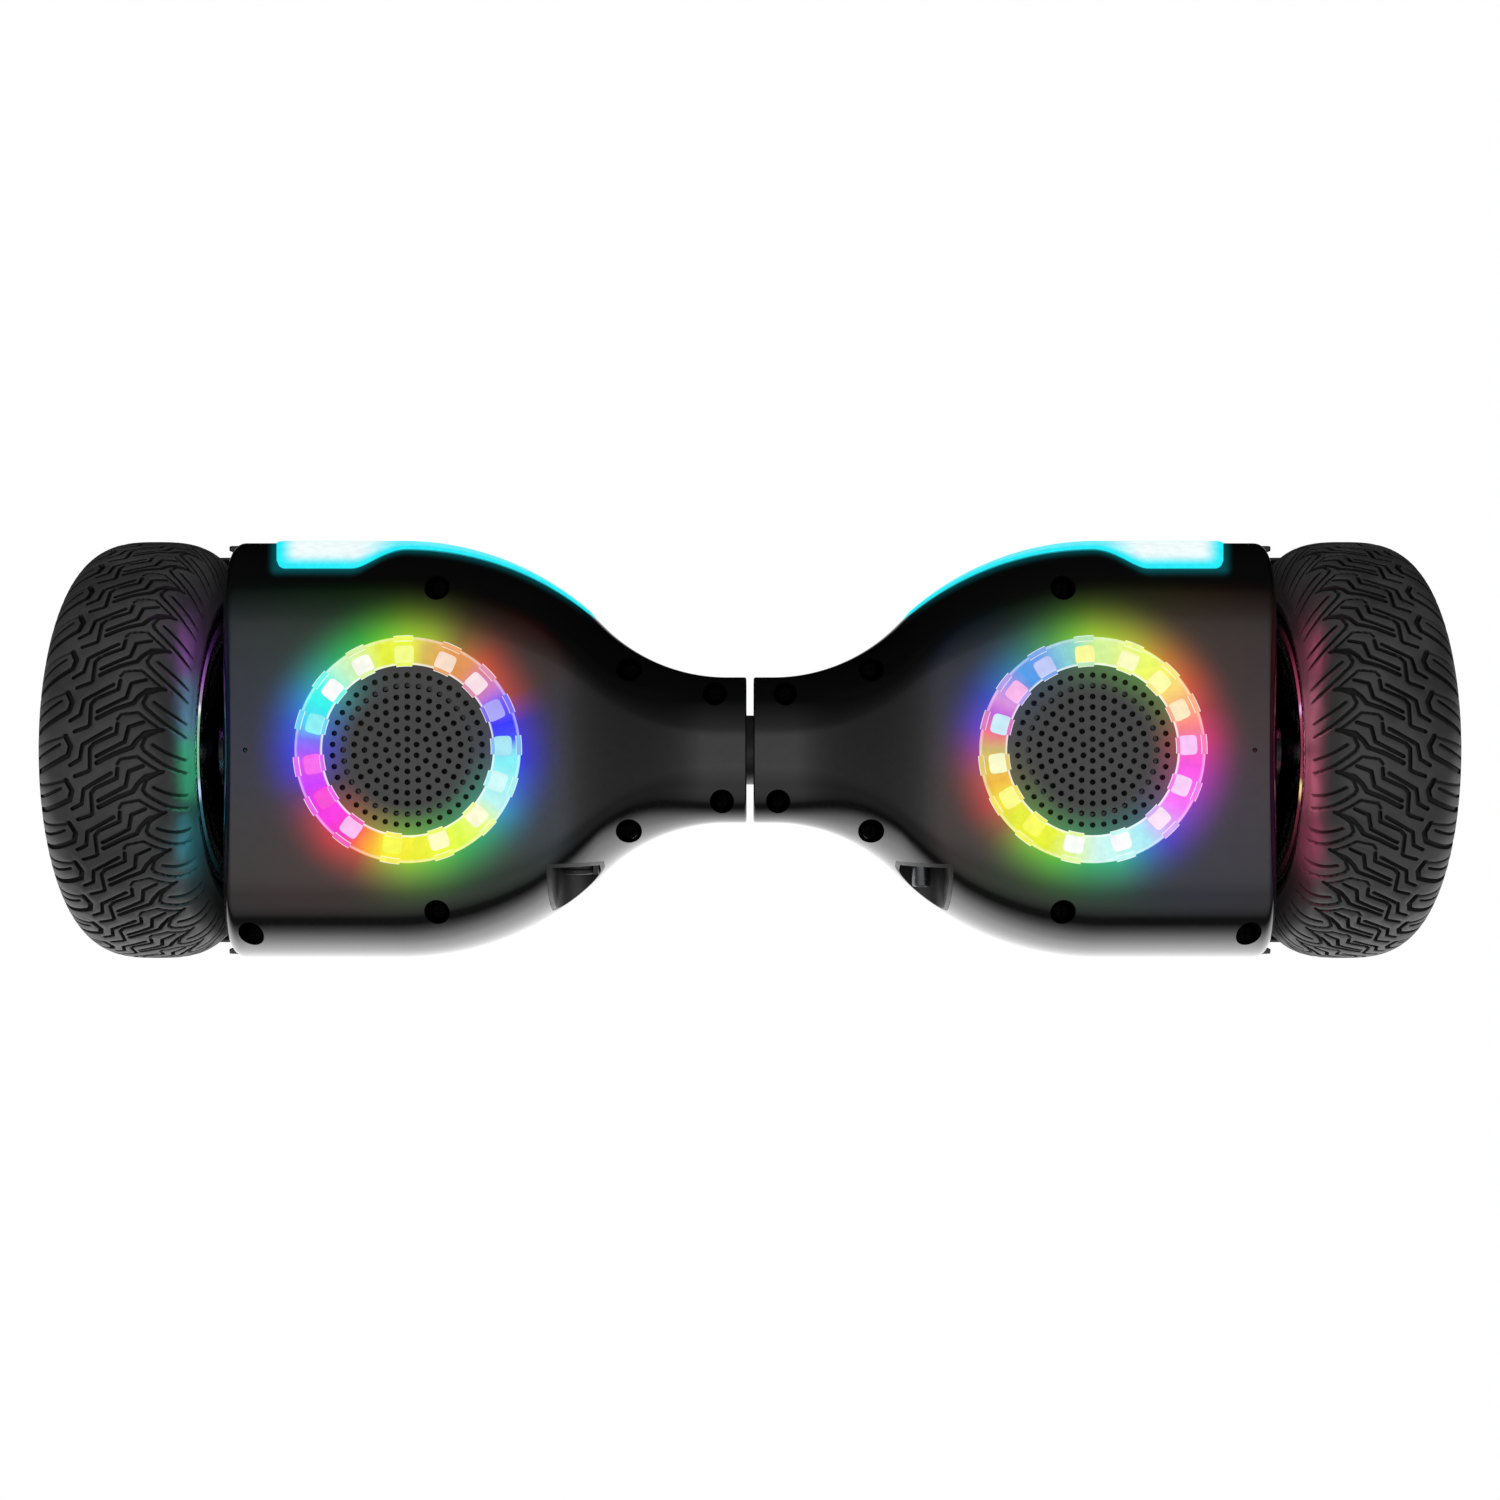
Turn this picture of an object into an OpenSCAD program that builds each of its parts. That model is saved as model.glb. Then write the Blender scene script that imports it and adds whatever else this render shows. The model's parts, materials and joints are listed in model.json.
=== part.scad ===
// Self balancing board: two twisting halves on a shared cross axle, each with a hub motor wheel.
// Origin on the ground under the centre. X runs along the axle, the front faces -Y, Z is up.

/* [Wheels] */
// Diameter over the tread
wheel_d = 180; // [160:1:220]
// Distance between the middle planes of the two wheels
track = 510; // [480:1:620]
// Width of a tyre
tyre_w = 62; // [50:1:66]
// Diameter of the rim where the tyre sits
rim_d = 112; // [104:1:118]
// Diameter of the fixed wheel axle
axle_d = 15; // [12:0.5:17]
// Number of magnets round a rim
magnet_count = 20; // [12:2:28]

/* [Body] */
// Front to back size of the widest part
body_depth = 177.6; // [160:0.2:178]
// Front to back size of the neck
neck_depth = 62.8; // [58:0.2:76]
// Length of the straight part of the neck, from the middle
neck_len = 10; // [6:1:20]
// Radius of the hollow curve beside the neck
waist_r = 75; // [60:1:80]
// Radius of the round shoulder beyond it
shoulder_r = 120; // [100:1:125]
// Depth of the underside below the axle
belly_drop = 58; // [50:1:66]
// Depth of the neck below the axle
neck_drop = 26; // [25:1:30]
// Height of the deck above the axle
deck_rise = 24; // [22:1:28]
// Depth of the seam between the shells below the axle
seam_drop = 6; // [4:1:9]
// Thickness of the shells and fenders
wall = 2.5; // [2:0.1:3]
// Gap between the two halves
mid_gap = 3; // [2:0.5:5]
// Gap from the shells to the tyre, filled by the fender's web
end_gap = 3.5; // [3.2:0.1:5]
// How far the underside's end stands back from the seam's
end_slant = 5.5; // [0:0.5:8]

/* [Pivot] */
// Outer diameter of the pivot tube
pivot_d = 22; // [18:1:22]
// Bore of the pivot tube
pivot_bore = 17; // [13:1:18]
// Wall of the bushes that the right half turns on
bush_t = 2; // [1.5:0.5:2.5]
// Outer diameter of the collar in the middle gap
collar_d = 30; // [29:1:34]

/* [Foot pads] */
// Gap from the body's widest edge to the pad's edge
pad_margin = 30; // [28:1:40]
// Where each pad starts, from the middle
pad_start = 92; // [88:1:120]
// Height of the pads above the deck
pad_proud = 4; // [2.5:0.5:6]
// Thickness of the rubber pads
pad_t = 7; // [5:0.5:8]
// How far a pad goes down under a foot
pad_travel = 1.5; // [0.5:0.1:2]

/* [Light ring and speaker] */
// Outer diameter of the light ring
ring_d = 92; // [80:1:96]
// Inner diameter of the light ring
ring_bore = 69.6; // [60:0.2:76]
// Gap from the end of the shells to the ring's middle
ring_inset = 81; // [76:1:90]
// Number of lamps in a ring
lamp_count = 15; // [8:1:20]
// Number of rings of holes in the grille
hole_rings = 7; // [3:1:7]
// Distance between the rings of holes
hole_pitch = 4.36; // [4:0.02:4.5]

/* [Ports] */
// Distance of the port and button notches from the middle
notch_x = 72.3; // [68:0.1:78]
// Half width of each notch
notch_half = 9.4; // [8.8:0.1:10.5]
// Distance of a notch's back wall behind the axle
notch_floor = 48.2; // [46:0.1:52]
// Diameter of the charging socket
socket_d = 10.6; // [8:0.1:11]
// Diameter of the power button
button_d = 7.8; // [6:0.1:9]
// Travel of the power button
button_travel = 1.5; // [0.5:0.1:2]

/* [Hidden] */
$fn = 64;

run_fit = 0.05;      // radial gap of a bearing or bush on its shaft
slip_fit = 0.1;      // radial gap of a hand fit
panel_gap = 0.4;     // gap round a panel in its opening
tiny = 0.01;

// Heights and places that follow from the sizes above
axle_z = wheel_d / 2;
wheel_x = track / 2;
seam_z = axle_z - seam_drop;
deck_z = axle_z + deck_rise;
belly_z = axle_z - belly_drop;
shell_end = wheel_x - tyre_w / 2 - end_gap;
ring_x = shell_end - ring_inset;
lens_flange = 3;
belly_start = ring_x - ring_d / 2 - lens_flange - 2;
body_half = body_depth / 2;
neck_half = neck_depth / 2;

// Plan outline: a straight neck, a hollow arc and a round arc that meet at one slope
waist_turn = acos(1 - (body_half - neck_half) / (waist_r + shoulder_r));
waist_x = neck_len + waist_r * sin(waist_turn);
wide_x = waist_x + shoulder_r * sin(waist_turn);
function half_depth(x) =
    x < neck_len ? neck_half :
    x < waist_x ? neck_half + waist_r - sqrt(pow(waist_r, 2) - pow(x - neck_len, 2)) :
    x < wide_x ? body_half - shoulder_r + sqrt(pow(shoulder_r, 2) - pow(wide_x - x, 2)) :
    body_half;
// How far the outline has spread, and how far the underside has sunk, from 0 at the neck to 1
function widening(x) = (half_depth(x) - neck_half) / (body_half - neck_half);
function sinking(x) = let (t = max(0, min(1, (x - neck_len) / (belly_start - neck_len)))) t * t * (3 - 2 * t);
function mix(a, b, t) = a + (b - a) * t;

// Cross section: flat in the middle, with round corners down to the seam
corner_power = 2 / 2.2;
corner_steps = 7;
neck_flat = 6;
belly_flat = 36.8;     // from the widest edge in to the flat of the underside
deck_flat = 26;        // the same on the deck
neck_deck_flat = 23.4;
function below(x) = mix(neck_drop, belly_drop, sinking(x)) - seam_drop;
function low_flat(x) = mix(neck_flat, body_half - belly_flat, widening(x));
function top_flat(x) = half_depth(x) - mix(neck_deck_flat, deck_flat, widening(x));
// A point of the lower skin. turn goes from 0 at the seam to 90 at the flat; off is outward.
function low_point(x, turn, off) = [
    x,
    low_flat(x) + (half_depth(x) - low_flat(x) + off) * pow(cos(turn), corner_power),
    seam_z - (below(x) + off) * pow(sin(turn), corner_power)
];
function top_point(x, turn, off) = [
    x,
    top_flat(x) + (half_depth(x) - top_flat(x) + off) * pow(cos(turn), corner_power),
    seam_z + (deck_rise + seam_drop + off) * pow(sin(turn), corner_power)
];
function flip_y(p) = [p.x, -p.y, p.z];
function lean(p, by) = [p.x - by * (seam_z - p.z) / (belly_drop - seam_drop), p.y, p.z];
function both_sides(half) = concat(half, [for (i = [len(half) - 1:-1:0]) flip_y(half[i])]);
turns = [for (i = [0:corner_steps]) 90 * i / corner_steps];
function low_section(x, off, by = 0) = both_sides([for (t = turns) lean(low_point(x, t, off), by)]);
function top_section(x, off) = both_sides([for (t = turns) top_point(x, t, off)]);

// Stations along one half, from the middle gap to the wheel end
waist_steps = 14;
stations = [for (i = [0:waist_steps]) mix(neck_len, wide_x, i / waist_steps)];
half_gap = mid_gap / 2;
low_skin = concat(
    [low_section(half_gap, 0)], [for (x = stations) low_section(x, 0)],
    [low_section(shell_end, 0, end_slant)]);
low_lining = concat(
    [low_section(half_gap + wall, -wall)], [for (x = stations) low_section(x, -wall)],
    [low_section(shell_end - wall, -wall, end_slant)]);
top_skin = concat(
    [top_section(half_gap, 0)], [for (x = stations) top_section(x, 0)],
    [top_section(shell_end, 0)]);
top_lining = concat(
    [top_section(half_gap + wall, -wall)], [for (x = stations) top_section(x, -wall)],
    [top_section(shell_end - wall, -wall)]);

// Triangles between neighbouring sections of m points, from point number at
function strip_faces(n, m, at, flip) = [
    for (i = [0:n - 2], j = [0:m - 2])
        let (a = at + i * m + j, b = a + 1, c = b + m, d = a + m)
        each flip ? [[a, c, b], [a, d, c]] : [[a, b, c], [a, c, d]]
];
function cap_face(m, at, flip) = flip ? [for (j = [m - 1:-1:0]) at + j] : [for (j = [0:m - 1]) at + j];
// The flat rim between the skin's open edge and the lining's
function rim_faces(n, m, far, flip) = let (
    edge = concat([for (i = [0:n - 1]) i * m], [for (i = [n - 1:-1:0]) i * m + m - 1]))
    [for (k = [0:2 * n - 1])
        let (a = edge[k], b = edge[(k + 1) % (2 * n)])
        each flip ? [[a, b + far, b], [a, a + far, b + far]] : [[a, b, b + far], [a, b + far, a + far]]];

// An open tub: skin outside, lining inside, one flat rim
module tub(skin, lining, flip) {
    n = len(skin);
    m = len(skin[0]);
    far = n * m;
    polyhedron(
        points = concat([for (s = skin) each s], [for (s = lining) each s]),
        faces = concat(
            strip_faces(n, m, 0, flip), [cap_face(m, 0, !flip)], [cap_face(m, (n - 1) * m, flip)],
            strip_faces(n, m, far, !flip), [cap_face(m, far, flip)],
            [cap_face(m, far + (n - 1) * m, !flip)],
            rim_faces(n, m, far, flip)));
}

// The solid that fills a skin
module filled(skin, flip) {
    n = len(skin);
    m = len(skin[0]);
    edge = concat([for (i = [0:n - 1]) i * m], [for (i = [n - 1:-1:0]) i * m + m - 1]);
    polyhedron(
        points = [for (s = skin) each s],
        faces = concat(
            strip_faces(n, m, 0, flip), [cap_face(m, 0, !flip)], [cap_face(m, (n - 1) * m, flip)],
            [flip ? [for (k = [len(edge) - 1:-1:0]) edge[k]] : edge]));
}

// Everything is drawn for the right half; the left half is its mirror image
module half(side) {
    if (side == "left") mirror([1, 0, 0]) children();
    else children();
}
module at_wheel() translate([wheel_x, 0, axle_z]) rotate([0, 90, 0]) children();
module ring(r_out, r_in, from, to) translate([0, 0, from]) difference() {
    cylinder(r = r_out, h = to - from);
    translate([0, 0, -1]) cylinder(r = r_in, h = to - from + 2);
}
module tube_x(r_out, r_in, from, to) rotate([0, 90, 0]) ring(r_out, r_in, from, to);
module rod_x(r, from, to) translate([from, 0, 0]) rotate([0, 90, 0]) cylinder(r = r, h = to - from);
// A flat plate that follows the plan outline, inset by margin
plan_steps = 10;
function plan(x0, x1, margin) = let (
    xs = [for (i = [0:plan_steps]) mix(x0, x1, i / plan_steps)])
    concat([for (x = xs) [x, half_depth(x) - margin]],
        [for (i = [plan_steps:-1:0]) [xs[i], margin - half_depth(xs[i])]]);
module plan_plate(x0, x1, margin, z, t)
    translate([0, 0, z]) linear_extrude(t) polygon(plan(x0, x1, margin));

// ---- Screws that hold the bottom shell ----
screw_head_r = 3.6;
screw_r = 1.9;
screw_recess_r = 4.6;
boss_r = 5.6;
top_boss_r = 4.5;
screw_bite = 7;
recess_depth = 9;
screw_head_h = 2.5;
function rear_screw(x, inset) = [x, half_depth(x) - inset];
screw_spots = [
    rear_screw(11.9, 9.6), rear_screw(50.6, 9.4), rear_screw(128, 20.8), rear_screw(shell_end - 15, 13),
    [15, -24], [50.6, -33.6], [128, -66.4]
];
function skin_height(x, y) = let (
    u = max(0, min(1, (abs(y) - low_flat(x)) / (half_depth(x) - low_flat(x)))))
    seam_z - below(x) * pow(1 - pow(u, 2.2), 1 / 2.2);
function seat_height(s) = skin_height(s.x, s.y) + recess_depth;
// A boss starts, and its partner in the top shell ends, where its outer side still lies within the wall
function boss_foot(s) = skin_height(s.x, abs(s.y) + boss_r) + wall / 4;
function top_height(x, y) = let (
    u = max(0, min(1, (abs(y) - top_flat(x)) / (half_depth(x) - top_flat(x)))))
    seam_z + (deck_rise + seam_drop) * pow(1 - pow(u, 2.2), 1 / 2.2);
function boss_roof(s) = top_height(s.x, abs(s.y) + top_boss_r) - wall / 3;

// ---- Shells ----
axle_hole_r = 18;
neck_hole_r = collar_d / 2 + 1.5;
drain_r = 1;
module end_holes() translate([0, 0, axle_z]) {
    rod_x(axle_hole_r, shell_end - end_slant - 2 * wall, shell_end + 1);
    rod_x(neck_hole_r, half_gap - 1, half_gap + wall + 1);
}
notch_z = axle_z - 27;
liner_t = 1.6;
// A notch in the rear of the neck, round above and open below
module notch(grow, floor_y) translate([notch_x, floor_y, notch_z]) {
    rotate([-90, 0, 0]) cylinder(r = notch_half + grow, h = body_half);
    translate([-notch_half - grow, 0, -belly_drop])
        cube([2 * (notch_half + grow), body_half, belly_drop]);
}
module bottom_shell() color("#141416") {
    difference() {
        union() {
            tub(low_skin, low_lining, false);
            for (s = screw_spots)
                translate([s.x, s.y, boss_foot(s)]) cylinder(r = boss_r, h = seam_z - boss_foot(s));
        }
        end_holes();
        for (s = screw_spots) translate([s.x, s.y, 0]) {
            cylinder(r = screw_recess_r, h = seat_height(s));
            cylinder(r = screw_r + slip_fit, h = seam_z + 1);
        }
        translate([ring_x, 0, belly_z - 1]) cylinder(r = ring_d / 2 + panel_gap / 2, h = wall + 2);
        translate([shell_end - 15, 0, 0]) cylinder(r = drain_r, h = axle_z);
        notch(liner_t, notch_floor - liner_t);
    }
}
module top_shell(side) color("#141416") difference() {
    union() {
        tub(top_skin, top_lining, true);
        for (s = screw_spots)
            translate([s.x, s.y, seam_z]) cylinder(r = top_boss_r, h = boss_roof(s) - seam_z);
    }
    end_holes();
    for (s = screw_spots) translate([s.x, s.y, seam_z - 1]) cylinder(r = screw_r, h = screw_bite + 1);
    for (s = fender_screw_spots)
        translate([0, s.x, axle_z + s.y]) rod_x(screw_r, shell_end - 2 * wall, shell_end + 1);
    plan_plate(pad_start - panel_gap, pad_end + panel_gap, pad_margin - panel_gap,
        deck_z - 2 * wall, 4 * wall);
    if (side == "left") status_window(panel_gap / 4, deck_z - 2 * wall, 4 * wall);
}

module shell_screws() color("#3a3a3d") for (s = screw_spots) translate([s.x, s.y, seat_height(s)]) {
    translate([0, 0, -screw_head_h]) cylinder(r = screw_head_r, h = screw_head_h);
    cylinder(r = screw_r, h = seam_z + screw_bite - seat_height(s));
}

// ---- Fender over each wheel ----
fender_gap = 5.5;
fender_in_r = axle_z + fender_gap;
fender_out_r = fender_in_r + wall + 0.5;
fender_reach = 64;     // degrees each way from the top
web_t = 2.5;
tab_len = 6;           // the small lip that shows past the shell's corner
fender_screw_spots = [[-70, 12], [-42, 14], [42, 14], [70, 12]];
module sector(r_out, r_in, reach) difference() {
    circle(r = r_out);
    circle(r = r_in);
    polygon([[0, 0], [2 * r_out * cos(reach), 2 * r_out * sin(reach)], [-2 * r_out, 2 * r_out],
        [-2 * r_out, -2 * r_out], [2 * r_out * cos(reach), -2 * r_out * sin(reach)]]);
}
module fender() color("#101012") translate([shell_end, 0, axle_z]) difference() {
    union() {
        rotate([0, -90, 180]) linear_extrude(tyre_w + end_gap)
            sector(fender_out_r, fender_in_r, fender_reach);
        intersection() {
            rod_x(fender_in_r + tiny, 0, web_t);
            translate([-1, -body_half, 0]) cube([web_t + 2, body_depth, fender_out_r]);
        }
        for (s = [0, 1]) mirror([0, s, 0]) translate([0, body_half - wall, 0])
            cube([tab_len, wall, fender_in_r * cos(fender_reach) + 1]);
    }
    rod_x(axle_hole_r + 8, -1, web_t + 1);
    for (s = fender_screw_spots) translate([0, s.x, s.y]) rod_x(screw_r + slip_fit, -1, web_t + 1);
}
module fender_screws() color("#2a2a2c")
    for (s = fender_screw_spots) translate([shell_end, s.x, axle_z + s.y]) {
        rod_x(screw_r, -wall, web_t);
        rod_x(2 * screw_r, web_t, web_t + 0.7);
    }

// ---- Chassis ----
floor_rise = 8;        // the chassis floor's underside above the axle
floor_t = 4;
floor_z = axle_z + floor_rise;
chassis_margin = 27;
chassis_start = 58;
housing_wall = 4;
housing_start = half_gap + 3.5;
housing_end = 66;
chassis_end = shell_end - 7;
saddle_len = 22;
saddle_half = 26;
saddle_drop = 10;
axle_r = axle_d / 2;
bolt_r = 3;
bolt_spots = [for (x = [5, saddle_len - 5], y = [-18, 18]) [chassis_end - saddle_len + x, y]];
shaft_r = pivot_d / 2;
bush_r = shaft_r + bush_t;
housing_r = bush_r + housing_wall;
stop_r = 4;
stop_spots = [for (y = [-40, 40]) [pad_start + 35, y]];
bush_len = 14;
standoff_r = 3;
module chassis(side) color("#8d9094") difference() {
    union() {
        translate([0, 0, axle_z]) rod_x(housing_r, housing_start, housing_end);
        plan_plate(chassis_start, chassis_end - saddle_len, chassis_margin, floor_z, floor_t);
        translate([chassis_end - saddle_len - tiny, -saddle_half, axle_z])
            cube([saddle_len + tiny, 2 * saddle_half, floor_rise + floor_t]);
        for (y = [-rib_y, 0, rib_y]) translate([rib_start, y - rib_t / 2, floor_z - rib_h])
            cube([pad_start - rib_start, rib_t, rib_h + floor_t / 2]);
        for (p = board_spots) translate([p.x, p.y, board_z + board_t])
            cylinder(r = standoff_r, h = floor_z - board_z - board_t + tiny);
        for (p = stop_spots) translate([p.x, p.y, floor_z + tiny])
            cylinder(r = stop_r, h = pad_top - pad_t - pad_travel - slip_fit - floor_z);
    }
    translate([0, 0, axle_z]) {
        rod_x(axle_r, chassis_end - saddle_len - 1, chassis_end + 1);
        rod_x(side == "left" ? shaft_r : bush_r, 0, housing_end + 1);
        if (side == "right") rod_x(bush_r + 1, housing_end, shaft_right + 2);
    }
    for (p = bolt_spots) translate([p.x, p.y, axle_z - 1]) cylinder(r = bolt_r, h = floor_rise);
}
rib_y = 24;
rib_t = 4;
rib_h = 5;
rib_start = 60;
module axle_clamp() color("#85888c") difference() {
    translate([chassis_end - saddle_len, -saddle_half, axle_z - saddle_drop])
        cube([saddle_len, 2 * saddle_half, saddle_drop]);
    translate([0, 0, axle_z]) rod_x(axle_r, chassis_end - saddle_len - 1, chassis_end + 1);
    for (p = bolt_spots) translate([p.x, p.y, 0]) cylinder(r = bolt_r, h = axle_z + 1);
}
module clamp_bolts() color("#55585c") for (p = bolt_spots) translate([p.x, p.y, axle_z - saddle_drop]) {
    cylinder(r = bolt_r, h = saddle_drop + floor_rise - 1);
    translate([0, 0, -4]) difference() {
        cylinder(r = 5, h = 4);
        translate([0, 0, -1]) cylinder(r = 2.9, h = 3, $fn = 6);
    }
}

// ---- Pivot between the halves ----
shaft_left = -62;
shaft_right = housing_end + 5;
clip_t = 1.5;
clip_x = housing_end + 0.3;
groove_depth = 1;
module pivot_shaft() color("#b4b7ba") translate([0, 0, axle_z]) difference() {
    tube_x(shaft_r, pivot_bore / 2, shaft_left, shaft_right);
    tube_x(shaft_r + 1, shaft_r - groove_depth, clip_x, clip_x + clip_t + slip_fit);
}
module pivot_bushes() color("#a9822f") translate([0, 0, axle_z])
    for (x = [housing_start, housing_end - bush_len]) tube_x(bush_r, shaft_r + run_fit, x, x + bush_len);
module pivot_ring() color("#3c3e41") translate([0, 0, axle_z])
    tube_x(bush_r - 0.5, shaft_r - groove_depth, clip_x, clip_x + clip_t);
module pivot_collar() color("#0c0c0d") translate([0, 0, axle_z])
    tube_x(collar_d / 2, shaft_r, -housing_start, housing_start - 0.5);
harness_r = 3;
harness_reach = 78;
plug_size = [13, 13, 7];
module wire_harness() color("#1c1c1f") translate([0, 0, axle_z - pivot_bore / 2 + harness_r + 0.4]) {
    rod_x(harness_r, -harness_reach, harness_reach);
    for (x = [-harness_reach - plug_size.x / 2, harness_reach + plug_size.x / 2])
        translate([x - plug_size.x / 2 - tiny, -plug_size.y / 2, -plug_size.z / 2])
            cube(plug_size + [2 * tiny, 0, 0]);
}

// ---- Wheel: a is the distance outward from the tyre's middle plane ----
tyre_base_r = rim_d / 2 - 2;
tyre_power = 3;
bead_half = tyre_w / 2 - 6;
tread_steps = 12;
function tyre_r(t) = tyre_base_r
    + (wheel_d / 2 - tyre_base_r) * pow(1 - pow(abs(t), tyre_power), 1 / tyre_power);
side_r = rim_d / 2 + 8;
side_t = pow(1 - pow((side_r - tyre_base_r) / (wheel_d / 2 - tyre_base_r), tyre_power), 1 / tyre_power);
module tyre() color("#2b2b2e") at_wheel() rotate_extrude($fn = 128) polygon(concat(
    [[rim_d / 2, bead_half], [rim_d / 2, -bead_half]],
    [for (i = [-tread_steps:tread_steps])
        let (t = side_t * sin(90 * i / tread_steps)) [tyre_r(t), t * tyre_w / 2]]));
barrel_r = rim_d / 2 - 9;
flange_r = rim_d / 2 + 2;
flange_a = tyre_w / 2 - 3.7;
flange_t = 2.2;
face_a = tyre_w / 2 - 10;
bearing_r = 14;
bearing_w = 7;
outer_bearing_a = 13;
inner_bearing_a = -26;
stator_mid = -3;       // the middle of the motor, inward of the tyre's
boss_out_r = 19;
pocket_count = 5;
module rim() color("#1d1d20") at_wheel() difference() {
    union() {
        ring(rim_d / 2, barrel_r, -flange_a - flange_t, flange_a + flange_t);
        for (a = [-flange_a - flange_t, flange_a]) ring(flange_r, barrel_r, a, a + flange_t);
        translate([0, 0, face_a]) cylinder(r = barrel_r + 1, h = 5);
        translate([0, 0, outer_bearing_a - 1]) cylinder(r = boss_out_r, h = face_a - outer_bearing_a + 3);
    }
    translate([0, 0, outer_bearing_a - 2]) cylinder(r = bearing_r, h = bearing_w + 2);
    translate([0, 0, outer_bearing_a]) cylinder(r = axle_r + 2, h = bearing_w + 2);
    for (k = [1:pocket_count]) rotate([0, 0, 360 * k / pocket_count]) translate([33, 0, face_a + 3])
        cylinder(r = 8, h = 5);
}
magnet_t = 3;
air_gap = 0.8;
magnet_half = 14;
module magnets() color("#9a9da1") at_wheel() translate([0, 0, stator_mid - magnet_half])
    for (k = [1:magnet_count]) rotate([0, 0, 360 * k / magnet_count])
        rotate_extrude(angle = 300 / magnet_count) translate([barrel_r - magnet_t, 0])
            square([magnet_t, 2 * magnet_half]);
stator_r = barrel_r - magnet_t - air_gap;
slot_count = 18;
slot_w = 3;
tooth_start = 26;
core_half = 11;
coil_t = 3;
hub_r = 12;
module stator() color("#7a5a3a") at_wheel() translate([0, 0, stator_mid]) {
    difference() {
        ring(stator_r, hub_r, -core_half, core_half);
        for (k = [1:slot_count]) rotate([0, 0, 360 * k / slot_count])
            translate([tooth_start, -slot_w / 2, -core_half - 1]) cube([stator_r, slot_w, 2 * core_half + 2]);
    }
    ring(stator_r - 5, tooth_start - 1, -core_half - coil_t, core_half + coil_t);
}
axle_in_a = chassis_end - saddle_len - 3 - wheel_x;
module axle() color("#a6a9ac") at_wheel() difference() {
    union() {
        translate([0, 0, axle_in_a]) cylinder(r = axle_r, h = outer_bearing_a + bearing_w + 1 - axle_in_a);
        translate([0, 0, stator_mid - core_half - 3]) cylinder(r = hub_r, h = 2 * core_half + 4);
    }
    translate([0, 0, axle_in_a - 1]) cylinder(r = 3, h = -18 - axle_in_a);
}
cover_r = barrel_r - 0.2;
module hub_cover() color("#26262a") at_wheel() difference() {
    union() {
        translate([0, 0, -flange_a - 1]) cylinder(r = cover_r, h = 3.5);
        translate([0, 0, inner_bearing_a - 5]) cylinder(r = boss_out_r, h = bearing_w + 6);
    }
    translate([0, 0, inner_bearing_a]) cylinder(r = bearing_r, h = bearing_w + 2);
    translate([0, 0, inner_bearing_a - 6]) cylinder(r = axle_r + 0.6, h = 10);
    for (k = [1:6]) rotate([0, 0, 60 * k]) translate([barrel_r - 5, 0, -flange_a - 2]) cylinder(r = 2, h = 6);
}
module hub_screws() color("#b0b2b5") at_wheel() for (k = [1:6]) rotate([0, 0, 60 * k])
    translate([barrel_r - 5, 0, -flange_a - 1]) {
        cylinder(r = 2, h = 5);
        translate([0, 0, -1.6]) cylinder(r = 3.4, h = 1.6);
    }
module bearings() color("#c2c4c7") at_wheel()
    for (a = [inner_bearing_a, outer_bearing_a]) ring(bearing_r, axle_r + run_fit, a, a + bearing_w);

// ---- Foot pads ----
pad_end = shell_end - 12;
pad_top = deck_z + pad_proud;
buffer_spots = [for (x = [pad_start + 12, pad_end - 30], y = [-26, 26]) [x, y]];
module foot_pad() color("#1a1a1c")
    plan_plate(pad_start, pad_end, pad_margin, pad_top - pad_t, pad_t);
module pad_buffers() color("#303033") for (p = buffer_spots)
    translate([p.x, p.y, floor_z + floor_t]) cylinder(r = 6, h = pad_top - pad_t - floor_z - floor_t);

// ---- Electronics ----
board_t = 1.6;
board_z = axle_z + 1;
gyro_size = [17, 44];
gyro_x = shaft_right + 12;
board_spots = [for (x = [-5, 5], y = [-18, 18]) [gyro_x + x, y]];
module gyro_board() color("#1d5a34")
    translate([gyro_x - gyro_size.x / 2, -gyro_size.y / 2, board_z])
        cube([gyro_size.x, gyro_size.y, board_t]);
battery_size = [92, 70, 38];
battery_x = pad_start + 1;
module battery_pack() color("#1e4f9c") half("left")
    translate([battery_x, -battery_size.y / 2, floor_z - battery_size.z]) cube(battery_size);
module main_board() color("#1d5a34") {
    translate([battery_x, -35, floor_z - 10 - board_t]) cube([86, 70, board_t]);
    translate([battery_x + 4, -32, floor_z - 10 - tiny]) cube([20, 64, 10 + tiny]);
    for (y = [-24, -8, 8, 24]) translate([battery_x + 50, y, floor_z - 10 - board_t - 16])
        cylinder(r = 5, h = 16 + tiny);
}

// ---- Light ring, grille and speaker in the underside ----
lip_t = 1.2;
module ring_lens() color("#e8f4ff") translate([ring_x, 0, 0]) {
    ring(ring_d / 2, ring_bore / 2, belly_z, belly_z + wall);
    ring(ring_d / 2 + lens_flange, ring_bore / 2, belly_z + wall, belly_z + wall + lip_t);
}
grille_r = ring_bore / 2 - slip_fit;
grille_t = 2;
grille_hole_r = 1;
module grille() color("#2c2c2e") translate([ring_x, 0, belly_z]) {
    linear_extrude(grille_t) difference() {
        circle(r = grille_r);
        circle(r = grille_hole_r, $fn = 8);
        for (k = [1:hole_rings], j = [0:6 * k - 1]) rotate(90 + 60 * j / k)
            translate([k * hole_pitch, 0]) circle(r = grille_hole_r, $fn = 8);
    }
    ring(grille_r, grille_r - 2, grille_t - tiny, wall + lip_t);
}
lamp_z = belly_z + wall + lip_t;
lamp_h = 1.5;
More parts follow.
